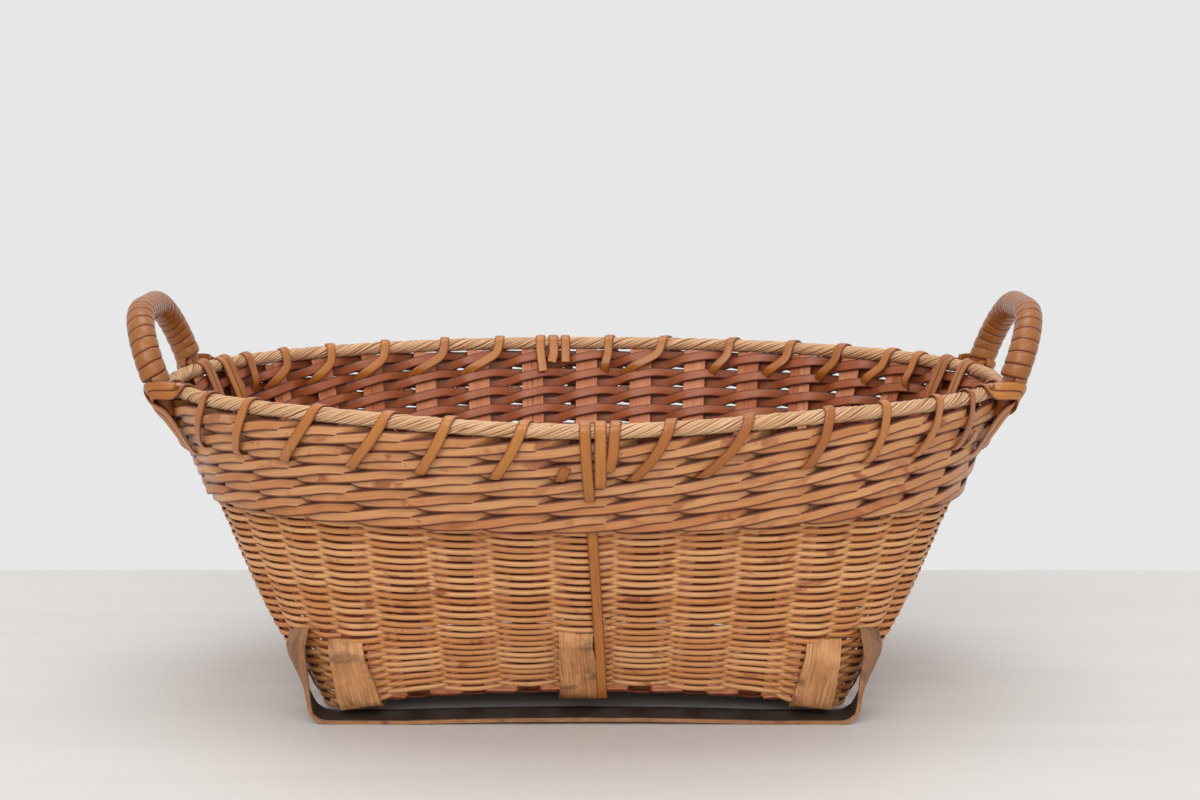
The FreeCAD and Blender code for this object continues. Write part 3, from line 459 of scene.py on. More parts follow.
def lay(shape, cuts, line, face, width, thickness, rng):
    """Lay a copy of a straight rod along a line, with its outer side towards the given faces."""
    mesh = straight_rod(shape, cuts).copy()
    corners = np.empty(len(mesh.vertices) * 3, np.float32)
    mesh.vertices.foreach_get("co", corners)
    corners = corners.reshape(-1, 3).astype(float)
    place = np.rint((corners[:, 2] + 0.5) * (sections(cuts) - 1)).astype(int)
    tangent = unit(np.gradient(line, axis=0))
    outward = unit(face - (face * tangent).sum(1, keepdims=True) * tangent)
    across = np.cross(outward, tangent)
    wide = np.broadcast_to(width, len(line))[place] * corners[:, 0]
    deep = np.broadcast_to(thickness, len(line))[place] * corners[:, 1]
    points = line[place] + across[place] * wide[:, None] + outward[place] * deep[:, None]
    mesh.vertices.foreach_set("co", points.astype(np.float32).ravel())
    run = runs_along(line)[place]
    course = [run + PATTERN_SHIFT[0] * rng.random(), wide + PATTERN_SHIFT[1] * rng.random(), deep]
    tint = np.full(len(points), rng.random())
    for name, kind, field, values in (
        ("course", "FLOAT_VECTOR", "vector", np.stack(course, 1)),
        ("tint", "FLOAT", "value", tint),
        ("edge", "FLOAT", "value", np.abs(2.0 * corners[:, 0])),
    ):
        mesh.attributes.new(name, kind, "POINT").data.foreach_set(field, values.astype(np.float32).ravel())
    strand = bpy.data.objects.new("strand", mesh)
    bpy.context.scene.collection.objects.link(strand)
    return strand


def finish_piece(name, strands, material, replaced=(), smooth=50.0):
    """Join strands into a named piece, smooth it, and give it its finish and its place in the frame."""
    bpy.ops.object.select_all(action="DESELECT")
    for strand in strands:
        strand.select_set(True)
    bpy.context.view_layer.objects.active = strands[0]
    if len(strands) > 1:
        bpy.ops.object.join()
    piece = bpy.context.active_object
    piece.name = name
    piece.data.name = name
    bpy.ops.object.shade_smooth_by_angle(angle=math.radians(smooth))
    piece.data.materials.clear()
    piece.data.materials.append(material)
    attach(piece, "root")
    if replaced:
        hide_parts(*replaced)


# ---------------------------------------------------------------- finishes

COAT_ROUGHNESS = 0.14
BUMP_STRENGTH = 0.6
# Noises of each finish: coordinates, waves per metre along, across and through, detail, roughness, distortion
CANE_NOISES = {
    "streak": ("course", (55.0, 1500.0, 900.0), 4.0, 0.6, 0.0),
    "cloud": ("course", (28.0, 90.0, 60.0), 3.0, 0.6, 0.3),
    "patch": ("course", (42.0, 60.0, 60.0), 4.0, 0.62, 0.5),
    "stain": ("place", (17.0, 17.0, 24.0), 3.0, 0.55, 0.0),
    "speck": ("course", (420.0, 700.0, 500.0), 2.0, 0.5, 0.0),
    "joint": ("course", (46.0, 0.0, 0.0), 1.0, 0.5, 0.0),
}
STAKE_NOISES = {
    "grain": ("course", (14.0, 1100.0, 400.0), 4.0, 0.6, 0.0),
    "cloud": ("course", (26.0, 120.0, 60.0), 3.0, 0.6, 0.0),
    "speck": ("course", (300.0, 900.0, 300.0), 2.0, 0.5, 0.0),
}
BAMBOO_NOISES = {
    "fibre": ("course", (30.0, 1400.0, 900.0), 5.0, 0.65, 0.0),
    "mottle": ("course", (110.0, 170.0, 170.0), 4.0, 0.6, 0.4),
    "stain": ("place", (55.0, 55.0, 75.0), 4.0, 0.6, 0.6),
    "scratch": ("course", (400.0, 600.0, 600.0), 3.0, 0.6, 0.0),
}
TABLE_NOISES = {"grain": ("place", (1.2, 22.0, 1.0), 4.0, 0.6, 0.0)}
CANE_LOOKS = {
    # finish: its colours, how much it is patched, banded, dark inside and dark-edged (own edge colour with
    # painted shade between canes), where the dark edge starts, its least roughness and its coat
    "weave_straw": dict(pale="straw", usual="tan", patches=0.55, inner=0.85, edges=0.5, rough=0.42),
    "wale_straw": dict(pale="straw", usual="tan", patches=0.7, bands=0.8, inner=0.9, edges=0.95, edge_from=0.52,
                       rough=0.3, coat=0.12),
    "rope_straw": dict(pale="rope_pale", usual="rope", patches=0.15, edges=0.75, rough=0.36, coat=0.1),
    "amber_cane": dict(pale="honey", usual="amber", patches=-0.5, edges=0.6, rough=0.24, coat=0.3),
    "grip_cane": dict(pale="grip_pale", usual="grip", patches=-0.5, edges=0.6, rough=0.24, coat=0.25),
}


class Finish:
    """A material under construction: nodes are added by kind, with values or links by socket name."""

    def __init__(self, name):
        self.material = bpy.data.materials.new(name)
        self.material.use_nodes = True
        self.tree = self.material.node_tree
        self.shader = self.tree.nodes["Principled BSDF"]

    def put(self, socket, value):
        if isinstance(value, bpy.types.NodeSocket):
            self.tree.links.new(value, socket)
        elif hasattr(value, "__len__") and len(value) == 3 and len(socket.default_value) == 4:
            socket.default_value = (*value, 1.0)
        else:
            socket.default_value = value

    def add(self, kind, settings=None, inputs=None):
        node = self.tree.nodes.new("ShaderNode" + kind)
        for name, value in (settings or {}).items():
            setattr(node, name, value)
        for name, value in (inputs or {}).items():
            self.put(node.inputs[name], value)
        return node

    def attribute(self, name, output="Fac"):
        return self.add("Attribute", {"attribute_name": name}).outputs[output]

    def depth(self):
        """Height of a point over the middle of its strand, towards the strand's outer side."""
        course = self.attribute("course", "Vector")
        return self.add("SeparateXYZ", inputs={"Vector": course}).outputs["Z"]

    def noises(self, table):
        """The noises of a table, on the course along a strand or on the place in the basket's frame."""
        sockets = []
        for space, waves, detail, roughness, distortion in table.values():
            if space == "course":
                spot = self.attribute("course", "Vector")
            else:
                spot = self.add("TexCoord").outputs["Object"]
            spot = self.add("Mapping", inputs={"Vector": spot, "Scale": waves}).outputs["Vector"]
            noise = self.add("TexNoise", inputs={"Vector": spot, "Scale": 1.0, "Detail": detail,
                                                 "Roughness": roughness, "Distortion": distortion})
            sockets.append(noise.outputs["Fac"])
        return sockets

    def ramp(self, value, low, high, start=0.0, end=1.0):
        return self.add("MapRange", {"interpolation_type": "SMOOTHSTEP"}, {
            "Value": value, "From Min": low, "From Max": high, "To Min": start, "To Max": end,
        }).outputs["Result"]

    def mix(self, share, first, second):
        return self.add("Mix", {"data_type": "RGBA"}, {"Factor": share, 6: first, 7: second}).outputs[2]

    def layer(self, base, tone, value, low, high, most=1.0):
        """A tone over the base, where a value is past low, at its most from high on."""
        return self.mix(self.ramp(value, low, high, 0.0, most), base, tone)

    def calculate(self, operation, first, second):
        return self.add("Math", {"operation": operation}, {0: first, 1: second}).outputs[0]

    def surface(self, base, roughness, height=None, depth=0.0, coat=0.0, specular=0.5):
        self.put(self.shader.inputs["Base Color"], base)
        self.put(self.shader.inputs["Roughness"], roughness)
        self.shader.inputs["Specular IOR Level"].default_value = specular
        if coat:
            self.shader.inputs["Coat Weight"].default_value = coat
            self.shader.inputs["Coat Roughness"].default_value = COAT_ROUGHNESS
        if height is not None:
            bump = self.add("Bump", inputs={"Height": height, "Strength": BUMP_STRENGTH, "Distance": depth})
            self.put(self.shader.inputs["Normal"], bump.outputs["Normal"])
        return self.material


@cache
def cane_finish(name):
    """Split cane: streaks along it, a tint of its own, red-brown patches, and dark specks; its edges go
    red-brown and then near black, partly the cane's own edge colour and partly painted shade in the gaps
    between canes.
    """
    look = {"bands": 0.0, "inner": 0.0, "edge_from": 0.62, "coat": 0.0, **CANE_LOOKS[name]}
    tones = sizes("colours")
    cane = Finish(name)
    streak, cloud, patch, stain, speck, joint = cane.noises(CANE_NOISES)
    shade = cane.calculate("ADD", cane.attribute("tint"), cloud)
    base = cane.mix(cane.ramp(shade, 0.55, 1.35), getattr(tones, look["usual"]), getattr(tones, look["pale"]))
    base = cane.layer(base, tones.russet, streak, 0.35, 0.75, 0.35)
    patch_from = 0.62 - 0.1 * look["patches"]
    patches = cane.calculate(
        "MULTIPLY", cane.ramp(patch, patch_from, patch_from + 0.1), cane.ramp(stain, 0.35, 0.68, 0.25, 1.0))
    base = cane.mix(cane.calculate("MULTIPLY", patches, 0.85), base, tones.russet)
    base = cane.layer(base, tones.russet, joint, 0.735, 0.742, look["bands"])
    specks = cane.calculate("MULTIPLY", cane.ramp(speck, 0.69, 0.76), cane.ramp(stain, 0.45, 0.65))
    base = cane.mix(specks, base, tones.specks_and_shade)
    if look["inner"]:
        inside = cane.mix(cane.ramp(cloud, 0.3, 0.7), tones.russet, tones.russet_pale)
        base = cane.mix(cane.ramp(cane.depth(), -0.00035, -0.00008, look["inner"], 0.0), base, inside)
    # Darker towards each strand's edges: the cane's own red-brown edge colour, and near black at the very edge
    # as painted shade in the gaps between canes
    edge, start = cane.attribute("edge"), look["edge_from"]
    base = cane.layer(base, tones.russet, edge, start, start + 0.23, look["edges"])
    base = cane.layer(base, tones.specks_and_shade, edge, start + 0.20, start + 0.36, look["edges"])
    rough = cane.ramp(streak, 0.3, 0.75, look["rough"], look["rough"] + 0.2)
    return cane.surface(base, rough, streak, 0.00025, look["coat"], 0.35)


@cache
def stake_finish():
    """Flat splints: fine grain along them, pinkish inside, painted dark on the outer side as shade for the gaps
    behind the weave and the base's underside where it shows, some paler than others.
    """
    tones = sizes("colours")
    splint = Finish("stake_splint")
    grain, cloud, speck = splint.noises(STAKE_NOISES)
    shade = splint.calculate("ADD", splint.attribute("tint"), cloud)
    base = splint.mix(splint.ramp(shade, 0.6, 1.4), tones.stake, tones.stake_pale)
    base = splint.layer(base, tones.russet, grain, 0.4, 0.75, 0.45)
    base = splint.layer(base, tones.specks_and_shade, speck, 0.7, 0.77, 0.7)
    # Painted shade: the outer side, seen only in the gaps behind the weave and under the base, is mixed towards
    # near black and red-brown
    outer_shade = splint.mix(splint.ramp(cloud, 0.3, 0.7), tones.specks_and_shade, tones.russet)
    base = splint.layer(base, outer_shade, splint.depth(), -0.0005, -0.0002, 0.88)
    return splint.surface(base, splint.ramp(grain, 0.3, 0.7, 0.48, 0.66), grain, 0.0002, specular=0.25)


@cache
def bamboo_finish(kind):
    """Dull bamboo: fibres along it, mottled and stained; the long straps are darker, partly their own darker
    bamboo and partly painted shade; every strap's upper side gets painted shade, for the shade under the base.
    """
    tones = sizes("colours")
    bamboo = Finish(f"bamboo_{kind}_strap")
    fibre, mottle, stain, scratch = bamboo.noises(BAMBOO_NOISES)
    base = bamboo.mix(bamboo.ramp(mottle, 0.38, 0.62), tones.bamboo, tones.bamboo_pale)
    base = bamboo.layer(base, tones.bamboo_dark, fibre, 0.42, 0.70, 0.65)
    base = bamboo.layer(base, tones.bamboo_dark, stain, 0.50, 0.68, 0.85)
    base = bamboo.layer(base, tones.specks_and_shade, scratch, 0.68, 0.76, 0.7)
    # Partly painted shade: the long straps are mixed towards dark. Part of this is their own darker bamboo, and
    # part is painted shade for the shade they lie in along the base.
    if kind == "long":
        base = bamboo.mix(0.45, base, tones.specks_and_shade)
    # Painted shade: the side turned away from the strap's face goes near black. This is the upper side under
    # the base and the inner side against the wall.
    base = bamboo.mix(bamboo.ramp(bamboo.depth(), -0.0010, -0.0006, 0.95, 0.0), base, tones.strap_top_shade)
    height = bamboo.calculate("ADD", fibre, bamboo.calculate("MULTIPLY", mottle, 0.6))
    return bamboo.surface(base, bamboo.ramp(mottle, 0.3, 0.7, 0.5, 0.72), height, 0.0005)


# ---------------------------------------------------------------- stakes and base

STAKE_SAMPLES, CORNER_SAMPLES, LEG_KNOTS = 97, 41, 9
# Rise of a stake's lowest knot in the wall, and the share of the way to its tip from which it widens
LEG_FOOT, WIDENS_FROM = 0.004, 1.0 / 3.0
# Stakes that are split in two, the least share of the first half, its spread, and how much they fill
SPLIT_STAKES = {"cross": (1, 4, 9), "long": (2, 5), "corner": (2, 3, 6, 7)}
SPLIT_LEAST, SPLIT_SPREAD, SPLIT_FILL = 0.42, 0.16, 0.97
# How far the splints between the stakes end inside the base's outline, at the sides and at the ends
FILLER_INSET = {"sides": 0.003, "ends": 0.004}


def base_crossings():
    """Places of the strips of the base, front to back and left to right: (place, is it a stake)."""
    wall = sizes("wall")
    return [
        [(step * pitch / 2, step % 2 == 0) for step in range(-2 * reach, 2 * reach + 1)]
        for pitch, reach in ((wall.long_pitch, END_REACH), (wall.cross_pitch, SIDE_REACH))
    ]


def woven_levels(index, crossings, parity):
    """A strip's run through the base: (place along it, level) at each strip that it crosses."""
    step = (sizes("cane").stake_thickness + CLEARANCE) / 2
    return [
        (place, step if (index + other + parity) % 2 else -step) for other, (place, _) in enumerate(crossings)
    ]


def base_points(levels, place, lengthwise):
    """Points of a strip of the base at its levels, along the basket or across it."""
    height = sizes("wall").base_height
    return [
        (run, place, height + level) if lengthwise else (place, run, height + level) for run, level in levels
    ]


def stake_line(stations, levels, place, lengthwise):
    """Line and faces of a stake down one wall, through the base and up the other."""
    wall = sizes("wall")
    tip = wall.rim_height - sizes("cane").rope_radius
    heights = np.linspace(wall.base_height + LEG_FOOT, tip, LEG_KNOTS)
    legs = []
    for station in stations:
        points, _, _, out = wall_frame(np.full(LEG_KNOTS, float(station)), heights)
        legs.append([(*point, *face) for point, face in zip(points, out)])
    floor = [(*point, 0.0, 0.0, -1.0) for point in base_points(levels, place, lengthwise)]
    line = through(legs[0][::-1] + floor + legs[1], STAKE_SAMPLES)
    return bowed(line[:, :3]), unit(line[:, 3:])


class BASKET_OT_stakes(bpy.types.Operator):
    """Model the flat stakes that cross the base and stand in the wall"""

    bl_idname = "basket.stakes"
    bl_label = "Stakes"

    def execute(self, context):
        rng = np.random.default_rng(SEEDS["stakes"])
        wall, cane = sizes("wall"), sizes("cane")
        rows, columns = base_crossings()
        share = share_between(np.abs(np.linspace(-1.0, 1.0, STAKE_SAMPLES)), WIDENS_FROM, 1.0)
        widths = cane.stake_foot_width + (cane.stake_width - cane.stake_foot_width) * share
        for number, step in enumerate(range(-SIDE_REACH, SIDE_REACH + 1), 1):
            levels = woven_levels(2 * (step + SIDE_REACH), rows, 0)
            line, face = stake_line((step, HALF - step), levels, step * wall.cross_pitch, False)
            self.stake("cross", number, line, face, widths, rng)
        for number, step in enumerate(range(-END_REACH, END_REACH + 1), 1):
            levels = woven_levels(2 * (step + END_REACH), columns, 1)[::-1]
            stations = (QUARTER + step, QUARTER + HALF - step)
            line, face = stake_line(stations, levels, step * wall.long_pitch, True)
            self.stake("long", number, line, face, widths, rng)
        heights = np.linspace(cane.weave_bottom, wall.rim_height - cane.rope_radius, CORNER_SAMPLES)
        spread = np.linspace(0.0, 1.0, CORNER_SAMPLES)
        widths = cane.corner_foot_width + (cane.stake_width - cane.corner_foot_width) * spread
        starts = [start + half for half in (0, HALF) for start in (SIDE_REACH, QUARTER + END_REACH)]
        stations = [start + step for start in starts for step in range(1, CORNER_STEPS)]
        for number, station in enumerate(stations, 1):
            points, _, _, out = wall_frame(np.full(CORNER_SAMPLES, float(station)), heights)
            self.stake("corner", number, bowed(points), out, widths, rng)
        return {"FINISHED"}

    def stake(self, kind, number, line, face, widths, rng):
        """A stake as one splint, or as two narrower ones side by side."""
        parts = ((0.0, 1.0),)
        if number in SPLIT_STAKES[kind]:
            share = SPLIT_LEAST + SPLIT_SPREAD * rng.random()
            parts = ((-0.5 + share / 2, share * SPLIT_FILL), (share / 2, (1.0 - share) * SPLIT_FILL))
        side = unit(np.cross(face, unit(np.gradient(line, axis=0))))
        strands = [
            lay("flat", (len(line) - 2,), line + side * (centre * widths)[:, None], face, part * widths,
                sizes("cane").stake_thickness, rng)
            for centre, part in parts
        ]
        finish_piece(f"{kind}_splint_{number}", strands, stake_finish(), [f"{kind}_stake_{number}"])


class BASKET_OT_base(bpy.types.Operator):
    """Model the splints that fill the base between its stakes, and those along its long edges"""

    bl_idname = "basket.base"
    bl_label = "Base splints"

    def execute(self, context):
        rng = np.random.default_rng(SEEDS["base"])
        cane = sizes("cane")
        rows, columns = base_crossings()
        half_length, half_depth = base_reach()
        strands = []
        for strips, crossed, parity, reach in (
            (columns, rows, 0, half_depth - FILLER_INSET["sides"]),
            (rows, columns, 1, half_length - FILLER_INSET["ends"]),
        ):
            for index, (place, is_stake) in enumerate(strips):
                if not is_stake:
                    levels = woven_levels(index, crossed, parity)
                    strands.append(self.splint(levels, place, strips is rows, reach, cane.filler_width, rng))
        finish_piece("base_fillers", strands, stake_finish())
        for index, (side, place) in enumerate((("front", -cane.edge_place), ("back", cane.edge_place))):
            levels = woven_levels(index, columns, 0)[1:-1]
            strand = self.splint(levels, place, True, cane.edge_reach, cane.edge_width, rng)
            finish_piece(f"edge_strip_{side}", [strand], stake_finish(), [f"edge_splint_{side}"])
        return {"FINISHED"}

    def splint(self, levels, place, lengthwise, reach, width, rng):
        """A splint of the base, woven through its levels, with its ends at its reach from the middle."""
        knots = base_points([(-reach, 0.0), *levels, (reach, 0.0)], place, lengthwise)
        line = bowed(through(knots, STAKE_SAMPLES))
        face = np.tile((0.0, 0.0, -1.0), (STAKE_SAMPLES, 1))
        return lay("flat", (STAKE_SAMPLES - 2,), line, face, width, sizes("cane").stake_thickness, rng)


# ---------------------------------------------------------------- weave, wale and rope

# Cuts of a cane that goes once round: between stakes, and again in each space
WEAVER_CUTS, WALE_CUTS = (STAKES - 1, 8), (STAKES - 1, 11)
# How far from its seam a cane of a round ends, in stations
WEAVER_SEAM, WALE_SEAM = 0.012, 0.01
# Spacing of stakes at which a weaver swings fully, its least share of the swing, how flat its waves are,
# and its width where it crosses from one side to the other
FULL_SPACING, LEAST_SWING, WAVE_POWER, CROSSING_WIDTH = 0.026, 0.55, 0.8, 0.90
# Course of a wale cane by stakes from the first that it passes outside: how far it is inside, and its rise
# as a share of its lift
WALE_INSIDE = ((-0.8, 1.0), (-0.48, 0.0), (1.38, 0.0), (1.8, 1.0), (2.2, 1.0))
WALE_RISE = ((-0.8, -0.6), (-0.5, -1.4), (-0.2, -1.35), (0.0, -1.2), (1.0, 1.2), (1.2, 1.35), (1.5, 1.4),
             (1.8, 0.6), (2.2, -0.6))
WALE_START, WALE_CANES, WALE_SMOOTHING = WALE_INSIDE[0][0], "abc", 7
# Rounds of the wale: drop of each below the rim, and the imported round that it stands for
WALE_ROUNDS = ((0.0475, 1), (0.0376, 2), (0.0277, None), (0.0178, 3), (0.0079, 4))
# Station of the rope's seam; radius of its strands' ring, and their width and thickness, by the rope's radius
ROPE_SEAM, STRAND_RING, STRAND_WIDTH, STRAND_THICKNESS = 26.5, 0.74, 0.50, 0.56


class BASKET_OT_weave(bpy.types.Operator):
    """Model the fine weave, row by row, over and under the stakes"""

    bl_idname = "basket.weave"
    bl_label = "Fine weave"

    def execute(self, context):
        rng = np.random.default_rng(SEEDS["weave"])
        cane = sizes("cane")
        pitch = (cane.weave_top - cane.weave_bottom) / cane.weave_rows
        heights = cane.weave_bottom + pitch * (np.arange(cane.weave_rows) + 0.5)
        strands = [self.row(row, height, rng) for row, height in enumerate(heights)]
        half = cane.weave_rows // 2
        straw = cane_finish("weave_straw")
        finish_piece("weavers_lower", strands[:half], straw, ["fine_weave"], smooth=70.0)
        finish_piece("weavers_upper", strands[half:], straw, smooth=70.0)
        return {"FINISHED"}

    def row(self, row, height, rng):
        cane = sizes("cane")
        start = 2 * rng.integers(0, HALF) + (row + 1) % 2
        stations = np.linspace(start + WEAVER_SEAM, start + STAKES - WEAVER_SEAM, sections(WEAVER_CUTS))
        heights = height + ripple(rng, stations, "row height")
        points, _, _, out = wall_frame(stations, heights)
        ahead, behind = (wall_point(stations + step, heights) for step in (0.5, -0.5))
        room = np.clip(np.linalg.norm(ahead - behind, axis=1) / FULL_SPACING, LEAST_SWING, 1.0)
        wave = np.cos(math.pi * (stations + row))
        swing = np.sign(wave) * np.abs(wave) ** WAVE_POWER * cane.weaver_swing * room
        swing += ripple(rng, stations, "row swing")
        line = bowed(points + out * swing[:, None])
        wide = cane.weaver_width * (CROSSING_WIDTH + (1.0 - CROSSING_WIDTH) * np.abs(wave))
        wide = wide * (1.0 + ripple(rng, stations, "row width"))
        return lay("round", WEAVER_CUTS, line, out, wide, cane.weaver_thickness, rng)


class BASKET_OT_wale(bpy.types.Operator):
    """Model the five rounds of three wale canes, outside two stakes and inside one"""

    bl_idname = "basket.wale"
    bl_label = "Wale"

    def execute(self, context):
        rng = np.random.default_rng(SEEDS["wale"])
        rim = sizes("wall").rim_height
        straw = cane_finish("wale_straw")
        for number, (drop, packed) in enumerate(WALE_ROUNDS, 1):
            for first, letter in enumerate(WALE_CANES):
                strand = self.cane(rim - drop, first, rng)
                replaced = [f"wale_{packed}{letter}"] if packed else ()
                finish_piece(f"wale_cane_{number}{letter}", [strand], straw, replaced, smooth=60.0)
        return {"FINISHED"}

    def cane(self, height, first, rng):
        """A cane of a round, which passes outside two stakes from the given first one, then inside one."""
        cane = sizes("cane")
        seam = first + len(WALE_CANES) - 1
        stations = np.linspace(seam + WALE_SEAM, seam + STAKES - WALE_SEAM, sections(WALE_CUTS))
        step = np.mod(stations - first - WALE_START, len(WALE_CANES)) + WALE_START
        inside = eased(np.interp(step, *zip(*WALE_INSIDE)))
        bulge = np.sin(math.pi * np.clip(step, 0.0, 1.0))
        offset = cane.wale_cross * (1.0 - inside) - cane.wale_depth * inside + cane.wale_bulge * bulge
        raised = cane.wale_lift * np.interp(step, *zip(*WALE_RISE))
        window = np.hanning(WALE_SMOOTHING) / np.hanning(WALE_SMOOTHING).sum()
        offset, raised = (
            np.convolve(np.pad(line, WALE_SMOOTHING // 2, mode="edge"), window, "valid")
            for line in (offset, raised)
        )
        raised = raised + ripple(rng, stations, "wale height")
        points, _, up, out = wall_frame(stations, np.full_like(stations, height))
        line = points + out * offset[:, None] + up * raised[:, None]
        roll = cane.wale_roll * (1.0 - inside)
        face = out * np.cos(roll)[:, None] + up * np.sin(roll)[:, None]
        wide = cane.wale_width * (1.0 + ripple(rng, stations, "wale width"))
        return lay("flat", WALE_CUTS, line, face, wide, cane.wale_thickness, rng)


class BASKET_OT_rope(bpy.types.Operator):
    """Model the rim's rope as a twisted bundle of splints"""

    bl_idname = "basket.rope"
    bl_label = "Rim rope"

    def execute(self, context):
        rng = np.random.default_rng(SEEDS["rope"])
        cane = sizes("cane")
        travel = np.linspace(0.0, STAKES, sections(WALE_CUTS))
        stations = travel + ROPE_SEAM
        points, _, up, out = wall_frame(stations, np.full_like(stations, sizes("wall").rim_height))
        turns = round(steps_along(points).sum() / cane.rope_lay)
        strands = []
        for number in range(cane.rope_strands):
            twist = 2 * math.pi * (number / cane.rope_strands + turns * travel / STAKES)
            twist = twist + ripple(rng, stations, "rope twist")
            spoke = out * np.cos(twist)[:, None] + up * np.sin(twist)[:, None]
            ring = cane.rope_radius * (STRAND_RING + ripple(rng, stations, "rope radius"))
            strands.append(lay("round", WALE_CUTS, points + spoke * ring[:, None], spoke,
                               cane.rope_radius * STRAND_WIDTH, cane.rope_radius * STRAND_THICKNESS, rng))
        finish_piece("rim_roll", strands, cane_finish("rope_straw"), ["rim_rope"], smooth=60.0)
        return {"FINISHED"}


# ---------------------------------------------------------------- lashings and ties

# Paths of flat canes on the wall: (station or share of the way, drop below the rim, distance out of the wall,
# angle of the face: 0 faces out of the wall, 90 up). A lashing climbs over the wale, crosses the rope and falls
# inside.
CLIMB = (
    (-0.02, 0.0232, 0.0030, -80.0),
    (0.0, 0.0222, 0.0064, -45.0),
    (0.13, 0.0194, 0.0084, -10.0),
    (0.40, 0.0136, 0.0090, 0.0),
    (0.70, 0.0072, 0.0082, 6.0),
)
FALL = (
    (0.10, 0.0064, -0.0047, 180.0),
    (0.45, 0.0110, -0.0047, 180.0),
    (0.75, 0.0140, -0.0036, 200.0),
    (1.0, 0.0168, 0.0005, 235.0),
)
HOOP = (20.0, 60.0, 100.0, 140.0, 172.0)
HOOP_GAP = 0.0001
# Slant of a lashing over the rope, by the way that it climbs and the most of that; and its cut end's stations
HOOP_SLANT, MOST_CLIMB, CUT_END = 0.25, 0.6, 0.25
LOOP_SAMPLES, CUT_SAMPLES = 61, 25
LASHING_LOOPS = {
    # run: stations of the loops' starts and crests, its end, and the middle that it counts from
    "front_right": (
        ((0.7, 1.26), (1.7, 2.42), (3.3, 3.68), (4.35, 4.66), (5.35, 5.74), (6.33, 6.57)), 6.65, 0),
    "front_left": (
        ((-6.7, -6.27), (-5.7, -5.28), (-4.68, -4.02), (-3.5, -2.86), (-2.41, -1.93), (-1.3, -0.84)),
        -0.34, 0),
    "back_left": (
        ((1.3, 1.58), (2.3, 2.6), (3.3, 3.72), (4.35, 4.78), (5.35, 5.73), (6.33, 6.58)), 6.65, HALF),
    "back_right": (
        ((-6.65, -6.47), (-6.33, -5.86), (-5.35, -4.83), (-4.38, -3.86), (-3.3, -2.73), (-2.3, -1.47),
         (-0.7, -0.44)), -0.32, HALF),
}
# Middle and foot of each side's ties, and the long tie's path: inside, and (drop, distance out) down the wall
TIE_SIDES = (("front", 0.0, 0.34), ("back", HALF + 0.36, HALF - 0.52))
LONG_TIE_SHIFT, LONG_TIE_SAMPLES = 0.03, 141
LONG_TIE_INSIDE = ((0.0, 0.012, -0.0047, 180.0), (0.0, 0.0068, -0.0047, 180.0))
LONG_TIE_OUTSIDE = (
    (0.0080, 0.0085), (0.0160, 0.0093), (0.0270, 0.0086), (0.0330, 0.0068), (0.0362, 0.0036),
    (0.0400, 0.0026), (0.0500, 0.0026), (0.0545, 0.0034), (0.0600, 0.0041), (0.0900, 0.0041),
    (0.1200, 0.0041), (0.1440, 0.0041), (0.1490, 0.0030),
)
DOUBLE_TIE = (
    # each cane: station from the middle, slant over the rope, width if not the lashing's, samples, its paths
    # outside and inside
    (0.47, 0.06, None, 45,
     ((-0.10, 0.0150, 0.0089, 0.0), (-0.05, 0.0080, 0.0085, 5.0)),
     ((0.02, 0.0068, -0.0047, 180.0), (-0.02, 0.0170, -0.0049, 180.0))),
    (0.25, 0.0, 0.0056, 51,
     ((0.0, 0.0255, 0.0070, -30.0), (0.0, 0.0235, 0.0088, -8.0), (0.0, 0.0160, 0.0095, 0.0),
      (0.0, 0.0080, 0.0086, 5.0)),
     ((0.0, 0.0068, -0.0047, 180.0), (0.04, 0.0120, -0.0048, 180.0))),
)


def wall_spot(station, height):
    """One point of the wall, with the directions up it and out of it."""
    point, _, up, out = (part[0] for part in wall_frame(np.array([float(station)]), np.array([height])))
    return point, up, out


def wall_knots(station, path, way=1.0):
    """Knots of a flat cane's path on the wall from a station: points and directions of its outer side."""
    knots = []
    for share, drop, outward, facing in path:
        point, up, out = wall_spot(station + way * share, sizes("wall").rim_height - drop)
        turn = math.radians(facing)
        knots.append((*(point + out * outward), *(out * math.cos(turn) + up * math.sin(turn))))
    return knots


def hoop_knots(station, angles=HOOP, slant=0.0):
    """Knots of a flat cane over the rope."""
    cane = sizes("cane")
    radius = cane.rope_radius + cane.lashing_thickness / 2 + HOOP_GAP
    knots = []
    for degrees in angles:
        turn = math.radians(degrees)
        point, up, out = wall_spot(station + slant * (degrees - 90.0) / 180.0, sizes("wall").rim_height)
        spoke = out * math.cos(turn) + up * math.sin(turn)
        knots.append((*(point + spoke * radius), *spoke))
    return knots


def lay_cane(knots, samples, rng, width=None):
    """Lay the lashing cane smoothly through knots of points and faces."""
    cane = sizes("cane")
    line = through(knots, samples)
    return lay("domed", (samples - 2,), line[:, :3], unit(line[:, 3:]), width or cane.lashing_width,
               cane.lashing_thickness, rng)


class BASKET_OT_lashing(bpy.types.Operator):
    """Model the flat cane that is lashed over the rope and the upper wale"""

    bl_idname = "basket.lashing"
    bl_label = "Rim lashings"

    def execute(self, context):
        rng = np.random.default_rng(SEEDS["lashing"])
        for name, (loops, end, middle) in LASHING_LOOPS.items():
            ends = [start for start, _ in loops[1:]] + [end]
            strands = []
            for (start, crest), finish in zip(loops, ends):
                slant = min(crest - start, MOST_CLIMB) * HOOP_SLANT
                knots = wall_knots(middle + start, CLIMB, crest - slant / 2 - start)
                knots += hoop_knots(middle + crest, slant=slant)
                knots += wall_knots(middle + crest + slant / 2, FALL, finish - crest - slant / 2)
                strands.append(lay_cane(knots, LOOP_SAMPLES, rng))
            strands.append(lay_cane(wall_knots(middle + end, CLIMB[:-1], CUT_END), CUT_SAMPLES, rng))
            finish_piece("lashing_cane_" + name, strands, cane_finish("amber_cane"),
                         ["rim_lashing_" + name])
        return {"FINISHED"}


